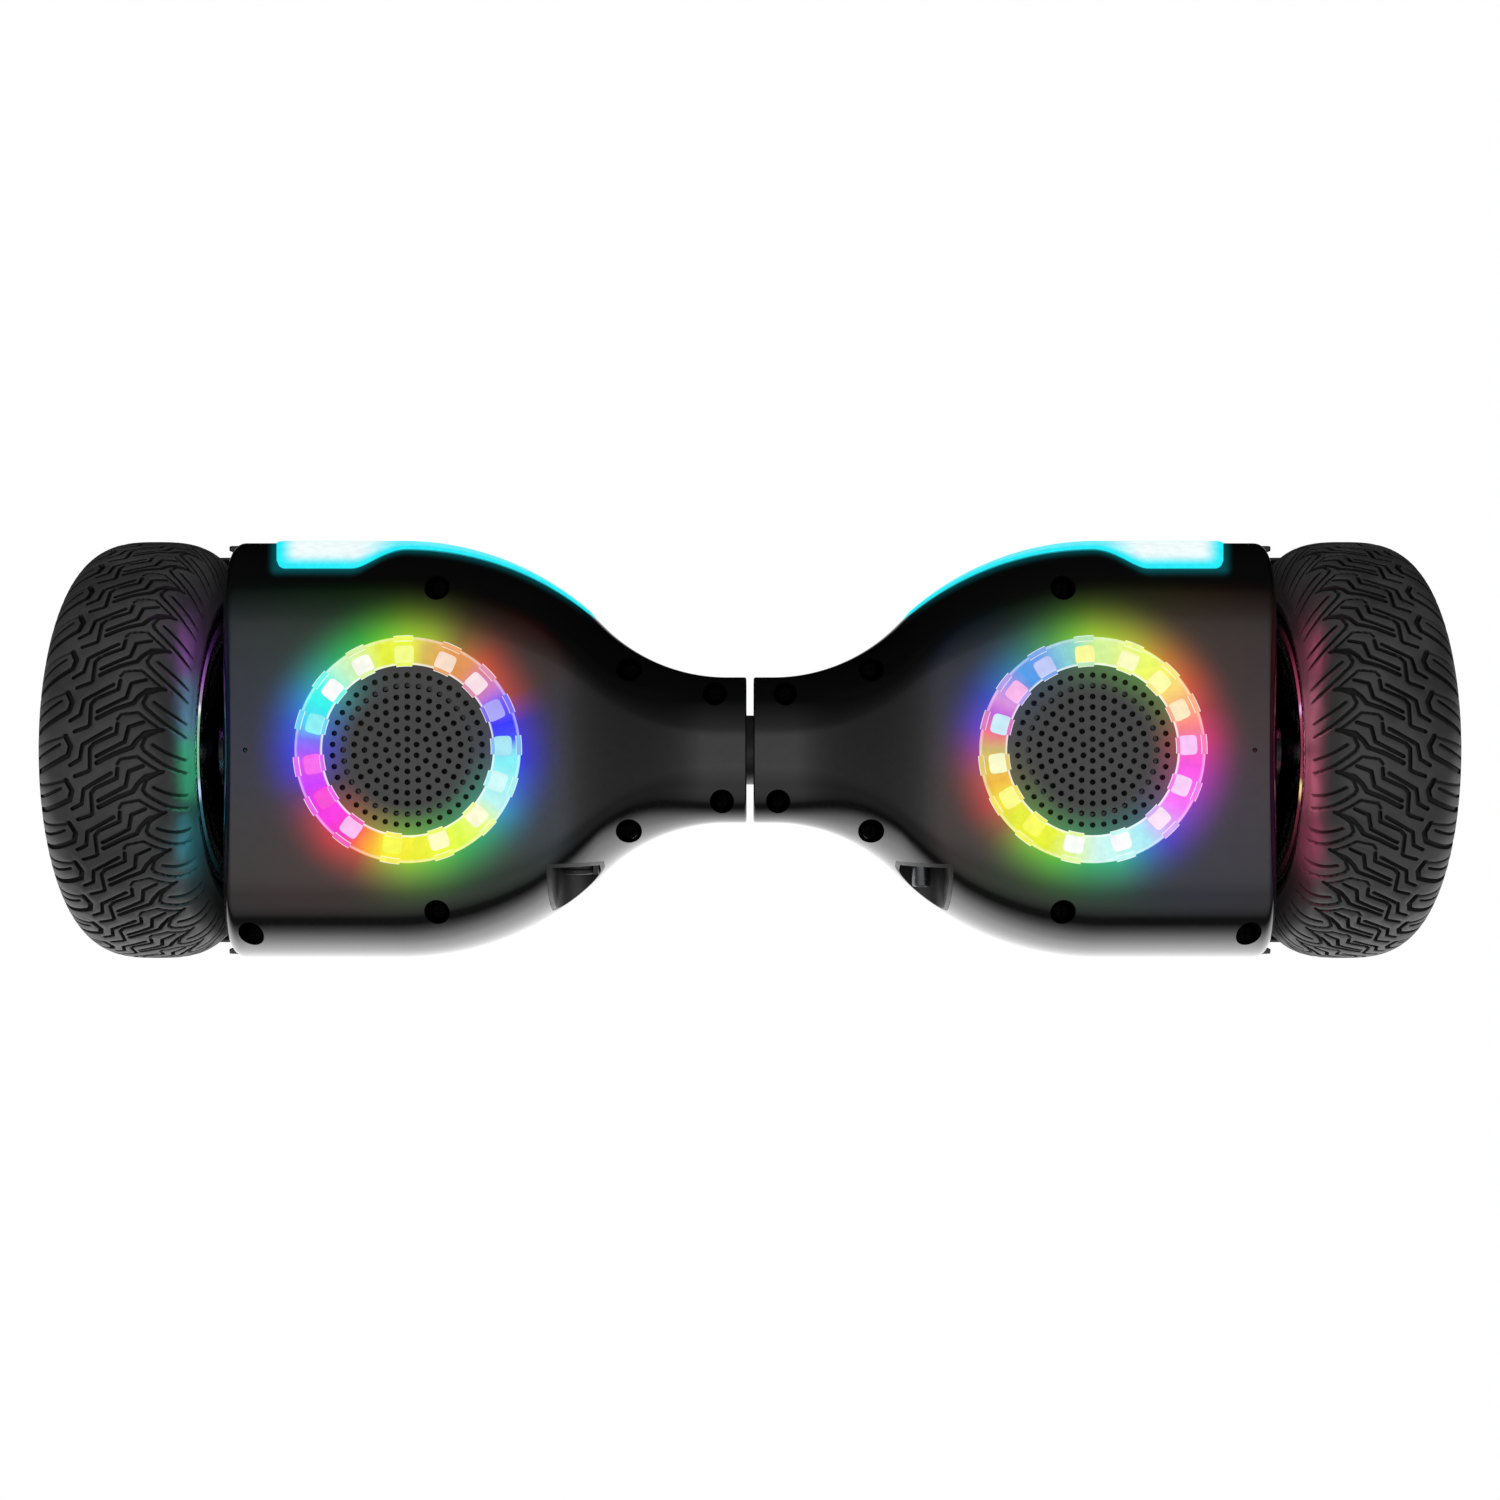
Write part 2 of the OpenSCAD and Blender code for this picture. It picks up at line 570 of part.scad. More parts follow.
module ring_board() color("#f1f1ee") translate([ring_x, 0, lamp_z]) {
    ring(ring_d / 2 + 1, ring_bore / 2 - 1.5, lamp_h, lamp_h + board_t);
    for (k = [0:lamp_count - 1]) rotate([0, 0, 90 + 360 * k / lamp_count])
        translate([(ring_d + ring_bore) / 4 - 2.5, -2.5, 0]) cube([5, 5, lamp_h + tiny]);
}
speaker_r = ring_bore / 2 - 5;
speaker_z = lamp_z + lamp_h + board_t;
speaker_flange = ring_bore / 2 + 2;
magnet_r = 20;
module speaker() color("#1a1a1c") translate([ring_x, 0, speaker_z]) rotate_extrude() polygon([
    [speaker_r - 4, belly_z + grille_t - speaker_z], [speaker_r, belly_z + grille_t - speaker_z],
    [speaker_r, 0], [speaker_flange, 0], [speaker_flange, 2], [speaker_r, 2], [magnet_r, 8],
    [magnet_r, 17], [0, 17], [0, 6], [speaker_r - 4, 1]]);

// ---- Light bar along the front edge ----
bar_proud = 1.1;
bar_seat = 0.2;
bar_start = 66;
bar_end = shell_end - 18;
bar_full = 158;        // from here outward the bar has its full height
bar_thin = 138;        // from here inward it is a strip
bar_steps = 16;
bar_turns = 5;
function bar_turn(x) =
    x > bar_full ? 48 :
    x > bar_thin ? mix(28, 48, (x - bar_thin) / (bar_full - bar_thin)) :
    mix(6, 28, (x - bar_start) / (bar_thin - bar_start));
bar_xs = [for (i = [0:bar_steps]) mix(bar_start, bar_end, i / bar_steps)];
function bar_row(x, off) = [for (j = [0:bar_turns])
    low_point(x, mix(2, bar_turn(x), j / bar_turns), off)];
module light_bar() color("#39dcf0") mirror([0, 1, 0]) slab(
    [for (x = bar_xs) bar_row(x, bar_proud)], [for (x = bar_xs) bar_row(x, bar_seat)]);
// A closed slab between two sheets of points with the same rows
module slab(top, bottom) {
    n = len(top);
    m = len(top[0]);
    far = n * m;
    edge = concat([for (i = [0:n - 1]) i * m], [for (j = [1:m - 1]) (n - 1) * m + j],
        [for (i = [n - 2:-1:0]) i * m + m - 1], [for (j = [m - 2:-1:1]) j]);
    count = len(edge);
    polyhedron(
        points = concat([for (s = top) each s], [for (s = bottom) each s]),
        faces = concat(
            strip_faces(n, m, 0, false), strip_faces(n, m, far, true),
            [for (k = [0:count - 1]) let (a = edge[k], b = edge[(k + 1) % count])
                each [[a, b, b + far], [a, b + far, a + far]]]));
}

// ---- Charging socket and power button in the rear notches ----
module liner() intersection() {
    filled(low_skin, false);
    difference() {
        notch(liner_t - slip_fit, notch_floor - liner_t);
        notch(0, notch_floor);
    }
}
socket_z = notch_z;
socket_r = socket_d / 2;
socket_in = 10;        // how far the socket reaches in from the back wall
socket_step = 4;       // the plug stops on this step; the pins stand behind it
socket_out = 1.7;
pin_len = 5.5;
pin_r = 0.8;
pin_spread = 2.6;
module from_floor(y0, y1, r, $fn = 64)
    translate([notch_x, notch_floor + y0, socket_z]) rotate([-90, 0, 0]) cylinder(r = r, h = y1 - y0);
cap_r = socket_r + 1.2;
cap_t = 2.2;
cap_y = notch_floor + socket_out + 0.2;
cap_pivot = notch_x - notch_half + 1.9;
knuckle_half = 2;
hinge_r = 0.6;
ear_t = 1.5;
module hinge_rod(r, z0, z1)
    translate([cap_pivot, cap_y + cap_t / 2, socket_z + z0]) cylinder(r = r, h = z1 - z0);
module charge_socket() color("#1a1a1c") half("left") {
    difference() {
        union() {
            liner();
            from_floor(-socket_in - 2, socket_out, socket_r + 1.2);
        }
        from_floor(-socket_step, socket_out + 1, socket_r);
        from_floor(-socket_in, 0, socket_r - 0.3);
    }
    for (k = [0:2]) translate([notch_x, notch_floor - socket_in - tiny, socket_z])
        rotate([-90, 0, 0]) rotate([0, 0, 120 * k + 90]) translate([pin_spread, 0, 0])
            cylinder(r = pin_r, h = pin_len);
    for (z = [-knuckle_half - ear_t - 0.2, knuckle_half + 0.2])
        translate([cap_pivot - cap_t / 2, notch_floor - tiny, socket_z + z])
            cube([cap_t, cap_y + cap_t - notch_floor, ear_t]);
    hinge_rod(hinge_r, -knuckle_half - ear_t, knuckle_half + ear_t);
}
module port_cap() color("#0e0e10") half("left") {
    translate([notch_x, cap_y, socket_z]) rotate([-90, 0, 0]) cylinder(r = cap_r, h = cap_t);
    difference() {
        union() {
            translate([cap_pivot, cap_y + 0.3, socket_z - knuckle_half])
                cube([notch_x - cap_pivot - cap_r + 2, cap_t - 0.6, 2 * knuckle_half]);
            hinge_rod(cap_t / 2, -knuckle_half, knuckle_half);
        }
        hinge_rod(hinge_r + run_fit, -knuckle_half - 1, knuckle_half + 1);
    }
}
button_r = button_d / 2;
button_out = button_travel + 7.9;
collar_r = button_r + 1.8;
button_stem = 1.5;
module button_housing() color("#1a1a1c") difference() {
    liner();
    from_floor(-2 * liner_t, 1, button_r + slip_fit);
}
module power_button() color("#8a8c90") {
    from_floor(-liner_t - button_stem, button_out, button_r);
    from_floor(-liner_t - button_stem, -liner_t - slip_fit, collar_r);
}

// ---- Status light on the neck ----
status_x = 30;
status_len = 9;
module status_window(grow, z, h) translate([status_x, 0, z]) {
    for (y = [-status_len / 2, status_len / 2]) translate([0, y, 0]) cylinder(r = 4 + grow, h = h);
    translate([-4 - grow, -status_len / 2, 0]) cube([8 + 2 * grow, status_len, h]);
}
module status_lens() color("#cfe9ff") half("left") status_window(0, deck_z - wall, wall + 0.3);

half("left") bottom_shell();  // left_bottom_shell
half("right") bottom_shell();  // right_bottom_shell
half("left") top_shell("left");  // left_top_shell
half("right") top_shell("right");  // right_top_shell
half("left") fender();  // left_fender
half("right") fender();  // right_fender
half("left") fender_screws();  // left_fender_screws
half("right") fender_screws();  // right_fender_screws
half("left") chassis("left");  // left_chassis
half("right") chassis("right");  // right_chassis
half("left") axle_clamp();  // left_axle_clamp
half("right") axle_clamp();  // right_axle_clamp
half("left") clamp_bolts();  // left_clamp_bolts
half("right") clamp_bolts();  // right_clamp_bolts
half("left") axle();  // left_axle
half("right") axle();  // right_axle
half("left") stator();  // left_stator
half("right") stator();  // right_stator
half("left") tyre();  // left_tyre
half("right") tyre();  // right_tyre
half("left") rim();  // left_rim
half("right") rim();  // right_rim
half("left") magnets();  // left_magnets
half("right") magnets();  // right_magnets
half("left") hub_cover();  // left_hub_cover
half("right") hub_cover();  // right_hub_cover
half("left") hub_screws();  // left_hub_screws
half("right") hub_screws();  // right_hub_screws
half("left") bearings();  // left_bearings
half("right") bearings();  // right_bearings
half("left") foot_pad();  // left_foot_pad
half("right") foot_pad();  // right_foot_pad
half("left") pad_buffers();  // left_pad_buffers
half("right") pad_buffers();  // right_pad_buffers
half("left") gyro_board();  // left_gyro_board
half("right") gyro_board();  // right_gyro_board
half("left") ring_lens();  // left_ring_lens
half("right") ring_lens();  // right_ring_lens
half("left") ring_board();  // left_ring_board
half("right") ring_board();  // right_ring_board
half("left") grille();  // left_grille
half("right") grille();  // right_grille
half("left") speaker();  // left_speaker
half("right") speaker();  // right_speaker
half("left") light_bar();  // left_light_bar
half("right") light_bar();  // right_light_bar
half("left") shell_screws();  // left_shell_screws
half("right") shell_screws();  // right_shell_screws
battery_pack();
main_board();
charge_socket();
port_cap();
button_housing();
power_button();
pivot_shaft();
pivot_bushes();
pivot_ring();
pivot_collar();
wire_harness();
status_lens();
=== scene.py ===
import functools
import json
import math

import bmesh
import bpy
import numpy as np
from mathutils import Matrix, Vector
from mathutils.geometry import delaunay_2d_cdt


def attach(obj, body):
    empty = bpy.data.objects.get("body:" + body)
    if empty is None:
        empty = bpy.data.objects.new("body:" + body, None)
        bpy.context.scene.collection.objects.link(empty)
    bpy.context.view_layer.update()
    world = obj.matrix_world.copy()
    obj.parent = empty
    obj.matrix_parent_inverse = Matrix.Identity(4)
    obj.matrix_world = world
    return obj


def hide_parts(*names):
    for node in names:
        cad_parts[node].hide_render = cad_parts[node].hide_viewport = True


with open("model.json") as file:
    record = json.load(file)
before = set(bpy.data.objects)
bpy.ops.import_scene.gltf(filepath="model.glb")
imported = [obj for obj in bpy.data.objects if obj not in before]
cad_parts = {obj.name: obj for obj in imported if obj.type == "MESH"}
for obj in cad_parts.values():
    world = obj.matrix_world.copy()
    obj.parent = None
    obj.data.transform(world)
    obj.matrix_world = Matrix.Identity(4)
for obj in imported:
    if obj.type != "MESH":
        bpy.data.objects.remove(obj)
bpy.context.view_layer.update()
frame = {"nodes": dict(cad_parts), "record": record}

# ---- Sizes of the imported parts, in mm: X runs along the axle, the front faces -Y ----
MM = 0.001
WHEEL_R = 90.0
AXLE_Z = 90.0
WHEEL_X = 255.0
TYRE_W = 62.0
BODY_HALF = 88.8
NECK_HALF = 31.4
NECK_LEN = 10.0
WAIST_R = 75.0
SHOULDER_R = 120.0
BELLY_DROP = 58.0
NECK_DROP = 26.0
DECK_RISE = 24.0
SEAM_DROP = 6.0
WALL = 2.5
HALF_GAP = 1.5
END_SLANT = 5.5
SHELL_END = 220.5
SEAM_Z = AXLE_Z - SEAM_DROP
DECK_Z = AXLE_Z + DECK_RISE
BELLY_Z = AXLE_Z - BELLY_DROP
RING_R = 46.0
RING_BORE_R = 34.8
RING_X = 139.5
LENS_FLANGE = 3.0
BELLY_START = RING_X - RING_R - LENS_FLANGE - 2
NECK_FLAT = 6.0
BELLY_FLAT = 36.8
DECK_FLAT = 26.0
NECK_DECK_FLAT = 23.4
CORNER = 2 / 2.2
NOTCH_X = 72.3
NOTCH_R = 9.4
NOTCH_Y = 48.2
NOTCH_Z = AXLE_Z - 27
LINER_T = 1.6
PAD_START = 92.0
PAD_END = SHELL_END - 12
PAD_MARGIN = 30.0
PAD_TOP = DECK_Z + 4
PAD_T = 7.0
PAD_GAP = 0.4
PAD_CORNER = 6.0

WAIST_TURN = math.acos(1 - (BODY_HALF - NECK_HALF) / (WAIST_R + SHOULDER_R))
WAIST_X = NECK_LEN + WAIST_R * math.sin(WAIST_TURN)
WIDE_X = WAIST_X + SHOULDER_R * math.sin(WAIST_TURN)


# ---- The body's surface ----
def half_depth(x):
    x = np.asarray(x, float)
    hollow = NECK_HALF + WAIST_R - np.sqrt(np.maximum(WAIST_R**2 - np.clip(x - NECK_LEN, 0, WAIST_R) ** 2, 0))
    round_ = BODY_HALF - SHOULDER_R + np.sqrt(SHOULDER_R**2 - np.clip(WIDE_X - x, 0, SHOULDER_R) ** 2)
    return np.where(x < WAIST_X, hollow, round_)


def mix(a, b, t):
    return a + (b - a) * t


def smooth(t):
    t = np.clip(t, 0, 1)
    return t * t * (3 - 2 * t)


def widening(x):
    return (half_depth(x) - NECK_HALF) / (BODY_HALF - NECK_HALF)


def below(x):
    """How far the belly lies below the seam."""
    share = smooth((np.asarray(x, float) - NECK_LEN) / (BELLY_START - NECK_LEN))
    return mix(NECK_DROP, BELLY_DROP, share) - SEAM_DROP


def low_flat(x):
    return mix(NECK_FLAT, BODY_HALF - BELLY_FLAT, widening(x))


def top_flat(x):
    return half_depth(x) - mix(NECK_DECK_FLAT, DECK_FLAT, widening(x))


def power(v, p):
    return np.maximum(v, 0) ** p


def low_point(x, turn, off=0.0):
    """A point of the lower skin; turn is 0 at the seam and 90 degrees at the flat."""
    c, s = power(np.cos(np.radians(turn)), CORNER), power(np.sin(np.radians(turn)), CORNER)
    y = low_flat(x) + (half_depth(x) - low_flat(x) + off) * c
    z = SEAM_Z - (below(x) + off) * s
    return np.stack(np.broadcast_arrays(np.asarray(x, float), y, z), -1)


def top_point(x, turn, off=0.0):
    c, s = power(np.cos(np.radians(turn)), CORNER), power(np.sin(np.radians(turn)), CORNER)
    y = top_flat(x) + (half_depth(x) - top_flat(x) + off) * c
    z = SEAM_Z + (DECK_RISE + SEAM_DROP + off) * s
    return np.stack(np.broadcast_arrays(np.asarray(x, float), y, z), -1)


def skin_height(x, y):
    """Height of the underside at a place in plan."""
    flat = low_flat(x)
    u = np.clip((np.abs(y) - flat) / (half_depth(x) - flat), 0, 1)
    return SEAM_Z - below(x) * (1 - u**2.2) ** (1 / 2.2)


# ---- Mesh building ----
class Build:
    """Collects closed sheets of points, in mm, for one mesh."""

    def __init__(self):
        self.points, self.faces, self.kinds, self.count = [], [], [], 0
        self.colours = []

    def add(self, points, faces, kind=0, colour=None):
        points = np.asarray(points, float).reshape(-1, 3)
        self.faces += [[i + self.count for i in f] for f in faces]
        self.kinds += [kind] * len(faces)
        self.points.append(points)
        if colour is None:
            colour = (0.0, 0.0, 0.0)
        self.colours.append(np.broadcast_to(np.asarray(colour, float), points.shape))
        self.count += len(points)

    def grid(self, p, around=False, along=False, caps=False, kind=0, colour=None, flip=False):
        """p[i, j] as quads. around closes j, along closes i, caps fills the first and last row."""
        n, m = p.shape[:2]
        i = np.arange(n if along else n - 1)[:, None]
        j = np.arange(m if around else m - 1)[None, :]
        a = i * m + j
        b = i * m + (j + 1) % m
        c = ((i + 1) % n) * m + (j + 1) % m
        d = ((i + 1) % n) * m + j
        quads = np.stack(np.broadcast_arrays(a, b, c, d), -1).reshape(-1, 4)
        faces = quads.tolist()
        if caps:
            faces.append(list(range(m))[::-1])
            faces.append([(n - 1) * m + k for k in range(m)])
        if flip:
            faces = [f[::-1] for f in faces]
        if colour is not None:
            colour = np.asarray(colour, float).reshape(-1, 3) if np.ndim(colour) > 1 else colour
        self.add(p.reshape(-1, 3), faces, kind, colour)

    def solid(self, rows, **more):
        """Rows closed round and filled at both ends."""
        self.grid(np.asarray(rows), around=True, caps=True, **more)

    def box(self, low, high):
        (x0, y0, z0), (x1, y1, z1) = low, high
        foot = [(x0, y0), (x1, y0), (x1, y1), (x0, y1)]
        self.solid([[(x, y, z) for x, y in foot] for z in (z0, z1)])

    def mesh(self, name, side=1, sharp=32, colours=False):
        points = np.concatenate(self.points) * MM
        faces = self.faces
        if side < 0:
            points = points * (-1, 1, 1)
            faces = [f[::-1] for f in faces]
        mesh = bpy.data.meshes.new(name)
        mesh.from_pydata(points.tolist(), [], faces)
        mesh.polygons.foreach_set("material_index", np.array(self.kinds, np.int32))
        if colours:
            layer = mesh.attributes.new("tint", "FLOAT_COLOR", "POINT")
            rgb = np.concatenate(self.colours)
            rgba = np.column_stack([rgb, np.ones(len(rgb))]).astype(np.float32)
            layer.data.foreach_set("color", rgba.ravel())
        finish_mesh(mesh, sharp)
        return mesh


def finish_mesh(mesh, sharp):
    mesh.validate()
    b = bmesh.new()
    b.from_mesh(mesh)
    bmesh.ops.recalc_face_normals(b, faces=b.faces)
    b.to_mesh(mesh)
    b.free()
    mesh.polygons.foreach_set("use_smooth", np.ones(len(mesh.polygons), bool))
    mesh.set_sharp_from_angle(angle=math.radians(sharp))
    mesh.update()


def show(mesh, name, body, materials, stands_for=()):
    piece = bpy.data.objects.new(name, mesh)
    bpy.context.scene.collection.objects.link(piece)
    for m in materials:
        mesh.materials.append(m)
    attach(piece, body)
    if stands_for:
        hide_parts(*stands_for)
    return piece


MIRROR = Matrix.Scale(-1, 4, (1, 0, 0))


def to_side(mesh, side):
    """A mesh made for the right half, mirrored if it is wanted on the left."""
    if side < 0:
        mesh.transform(MIRROR)
        mesh.flip_normals()
    return mesh


def circle(steps):
    return np.linspace(0, 2 * np.pi, steps, endpoint=False)


def turned(profile, steps, place):
    """Rows round a circle, one for each (radius, height) of a profile, at place(r cos, r sin, height)."""
    t = circle(steps)
    return np.array([np.column_stack(np.broadcast_arrays(*place(r * np.cos(t), r * np.sin(t), h)))
                     for r, h in profile])


def upright(x, y, profile, steps):
    """Rows of (radius, height) turned about an upright line."""
    return turned(profile, steps, lambda c, s, z: (x + c, y + s, z))


def about_axle(profile, steps):
    """Rows of (radius, x) turned about the axle's line."""
    return turned(profile, steps, lambda c, s, x: (x, c, AXLE_Z + s))


def along_y(x, z, profile, steps):
    """Rows of (radius, y) turned about a line along Y."""
    return turned(profile, steps, lambda c, s, y: (x + c, y, z + s))


def squircle(steps, exponent):
    """A rounded square of half width 1, from (cos, sin) brought nearer to 1."""
    t = circle(steps)
    return [np.sign(v) * np.abs(v) ** exponent for v in (np.cos(t), np.sin(t))]


def rod(x, y, low, high, r, steps=48):
    return upright(x, y, [(r, low), (r, high)], steps)


def cut(mesh, cutter, operation="DIFFERENCE"):
    """mesh less cutter, or what they share, as a new mesh."""
    scene = bpy.context.scene.collection
    a = bpy.data.objects.new("work_a", mesh)
    b = bpy.data.objects.new("work_b", cutter)
    scene.objects.link(a)
    scene.objects.link(b)
    m = a.modifiers.new("cut", "BOOLEAN")
    m.operation, m.solver, m.object = operation, "EXACT", b
    bpy.context.view_layer.update()
    done = bpy.data.meshes.new_from_object(a.evaluated_get(bpy.context.evaluated_depsgraph_get()))
    bpy.data.objects.remove(a)
    bpy.data.objects.remove(b)
    return done


def joined(first, second, name, sharp):
    """Two meshes in one, without joining their faces."""
    b = bmesh.new()
    b.from_mesh(first)
    b.from_mesh(second)
    mesh = bpy.data.meshes.new(name)
    b.to_mesh(mesh)
    b.free()
    finish_mesh(mesh, sharp)
    return mesh


# ---- Materials ----
def linear(rgb):
    """sRGB 0..255 to linear."""
    c = np.asarray(rgb, float) / 255
    return np.where(c <= 0.04045, c / 12.92, ((c + 0.055) / 1.055) ** 2.4)


class Nodes:
    """A material's node tree with short calls."""

    def __init__(self, name):
        self.material = bpy.data.materials.new(name)
        self.material.use_nodes = True
        self.tree = self.material.node_tree
        self.shader = self.tree.nodes["Principled BSDF"]

    def node(self, kind, **settings):
        n = self.tree.nodes.new(kind)
        for key, value in settings.items():
            setattr(n, key, value)
        return n

    def link(self, value, socket):
        if isinstance(value, bpy.types.NodeSocket):
            self.tree.links.new(value, socket)
        else:
            socket.default_value = value

    def math(self, operation, *values):
        n = self.node("ShaderNodeMath", operation=operation)
        for value, socket in zip(values, n.inputs):
            self.link(value, socket)
        return n.outputs[0]

    def mix(self, factor, a, b, blend="MIX"):
        n = self.node("ShaderNodeMix", data_type="RGBA", blend_type=blend)
        self.link(factor, n.inputs[0])
        self.link(a, n.inputs[6])
        self.link(b, n.inputs[7])
        return n.outputs[2]

    def scaled(self, colour, factor):
        """A colour times a number that may be over 1."""
        n = self.node("ShaderNodeVectorMath", operation="SCALE")
        self.link(colour, n.inputs[0])
        self.link(factor, n.inputs["Scale"])
        return n.outputs[0]

    def product(self, *values):
        return functools.reduce(lambda a, b: self.math("MULTIPLY", a, b), values)

    def length(self, a, b):
        return self.math("SQRT", self.math("ADD", self.product(a, a), self.product(b, b)))

    def parts(self, vector):
        n = self.node("ShaderNodeSeparateXYZ")
        self.link(vector, n.inputs[0])
        return n.outputs

    def place(self):
        return self.node("ShaderNodeTexCoord").outputs["Object"]

    def noise(self, scale, detail=3.0, rough=0.5, vector=None):
        n = self.node("ShaderNodeTexNoise")
        self.link(vector or self.place(), n.inputs["Vector"])
        for key, value in (("Scale", scale), ("Detail", detail), ("Roughness", rough)):
            n.inputs[key].default_value = value
        return n.outputs["Fac"]

    def spread(self, value, low, high, to_low, to_high):
        n = self.node("ShaderNodeMapRange", interpolation_type="SMOOTHSTEP")
        for v, socket in zip((value, low, high, to_low, to_high), n.inputs):
            self.link(v, socket)
        return n.outputs[0]

    def ramp(self, value, stops):
        n = self.node("ShaderNodeValToRGB")
        e = n.color_ramp.elements
        while len(e) < len(stops):
            e.new(0.5)
        for element, (at, rgb) in zip(e, stops):
            element.position = at
            element.color = (*rgb, 1)
        self.link(value, n.inputs[0])
        return n.outputs[0]

    def bump(self, height, distance, strength=1.0):
        n = self.node("ShaderNodeBump")
        n.inputs["Strength"].default_value = strength
        n.inputs["Distance"].default_value = distance
        self.link(height, n.inputs["Height"])
        return n.outputs[0]

    def set(self, **values):
        for key, value in values.items():
            self.link(value, self.shader.inputs[key.replace("_", " ")])
        return self.material


def grey(v):
    return (v, v, v, 1)


def shade(colour, factor):
    """A colour made darker or lighter, with its alpha."""
    return (*np.minimum(np.array(colour) * factor, 1), 1)


def plastic(name, colour, rough, grain=900.0, depth=0.00006, spread=0.25, coat=0.0, spec=0.5):
    """Moulded plastic or paint: slight colour drift, uneven gloss and a fine grain."""
    n = Nodes(name)
    cloud = n.spread(n.noise(14.0, 4.0), 0.3, 0.7, 0.0, 1.0)
    tint = n.mix(cloud, shade(colour, 1 - spread), shade(colour, 1 + spread))
    dust = n.noise(grain * 0.18, 2.0)
    return n.set(
        Base_Color=tint,
        Roughness=n.spread(dust, 0.3, 0.7, max(rough - 0.06, 0.02), rough + 0.06),
        Normal=n.bump(n.noise(grain, 2.0), depth),
        Specular_IOR_Level=spec,
        Coat_Weight=coat,
        Coat_Roughness=0.05,
    )


def metal(name, colour, rough, brushed=(1, 1, 1), depth=0.00002):
    n = Nodes(name)
    stretch = n.node("ShaderNodeMapping")
    n.link(n.place(), stretch.inputs["Vector"])
    stretch.inputs["Scale"].default_value = brushed
    lines = n.noise(700.0, 3.0, 0.6, stretch.outputs[0])
    return n.set(
        Base_Color=n.mix(lines, shade(colour, 0.8), shade(colour, 1.15)),
        Metallic=1.0,
        Roughness=n.spread(lines, 0.3, 0.7, max(rough - 0.08, 0.05), rough + 0.1),
        Normal=n.bump(lines, depth),
    )


def rubber(name, value, rough=0.62):
    """Matt black rubber with dust in its fine grain."""
    n = Nodes(name)
    cloud = n.noise(35.0, 5.0, 0.6)
    grain = n.noise(2200.0, 2.0)
    return n.set(
        Base_Color=n.mix(n.spread(cloud, 0.35, 0.7, 0.0, 1.0), grey(value * 0.8), grey(value * 1.3)),
        Roughness=n.spread(cloud, 0.3, 0.7, rough - 0.08, rough + 0.08),
        Normal=n.bump(grain, 0.00005, 0.6),
        Specular_IOR_Level=0.45,
    )


def stops_round(table):
    """A circle's colours from (degrees, sRGB), as sorted degrees and linear colours over one full turn."""
    table = sorted((a % 360, linear(c)) for a, c in table)
    angles = np.array([a for a, _ in table])
    colours = np.array([c for _, c in table])
    angles = np.concatenate([[angles[-1] - 360], angles, [angles[0] + 360]])
    return angles, np.concatenate([colours[-1:], colours, colours[:1]])


def on_circle(table, degrees):
    """Linear colour at some places round the circle."""
    angles, colours = stops_round(table)
    return np.stack([np.interp(np.mod(degrees, 360), angles, colours[:, k]) for k in range(3)], -1)


def circle_stops(table):
    """The same colours as ramp stops from 0 to 1."""
    start = on_circle(table, 0)
    inner = [(a / 360, c) for a, c in zip(*stops_round(table)) if 0.5 < a < 360]
    return [(0.0, start)] + inner + [(1.0, start)]


# Painted glow round the light rings, the rings' light painted on the shell as emission: (degrees clockwise
# from the front seen from below, sRGB)
GLOW = {
    -1: [
        (0, (140, 195, 0)), (12, (150, 180, 10)), (26, (140, 110, 20)), (42, (200, 70, 30)),
        (62, (165, 50, 45)),
        (76, (50, 10, 190)), (95, (0, 20, 215)), (110, (0, 90, 205)), (122, (0, 140, 190)),
        (136, (0, 155, 110)),
        (150, (30, 165, 70)), (166, (90, 185, 40)), (180, (130, 185, 20)), (192, (150, 150, 20)),
        (205, (180, 60, 30)), (220, (200, 30, 40)), (235, (150, 30, 60)), (247, (90, 20, 110)),
        (258, (50, 20, 190)), (270, (30, 40, 215)), (283, (0, 80, 215)), (296, (0, 130, 200)),
        (308, (0, 155, 150)), (322, (0, 165, 95)), (336, (30, 175, 45)), (348, (90, 190, 10)),
    ],
    1: [
        (0, (150, 195, 20)), (20, (170, 175, 20)), (40, (200, 120, 20)), (55, (205, 80, 30)),
        (70, (185, 40, 60)),
        (85, (205, 10, 110)), (102, (170, 0, 160)), (122, (120, 30, 180)), (140, (60, 40, 200)),
        (152, (0, 110, 175)), (166, (0, 165, 130)), (182, (20, 165, 90)), (200, (80, 185, 30)),
        (216, (110, 170, 20)), (230, (145, 90, 30)), (242, (185, 50, 40)), (256, (170, 60, 60)),
        (268, (150, 40, 130)), (281, (90, 40, 195)), (296, (30, 60, 195)), (311, (0, 105, 165)),
        (326, (30, 125, 110)), (340, (70, 155, 60)), (351, (110, 185, 30)),
    ],
}
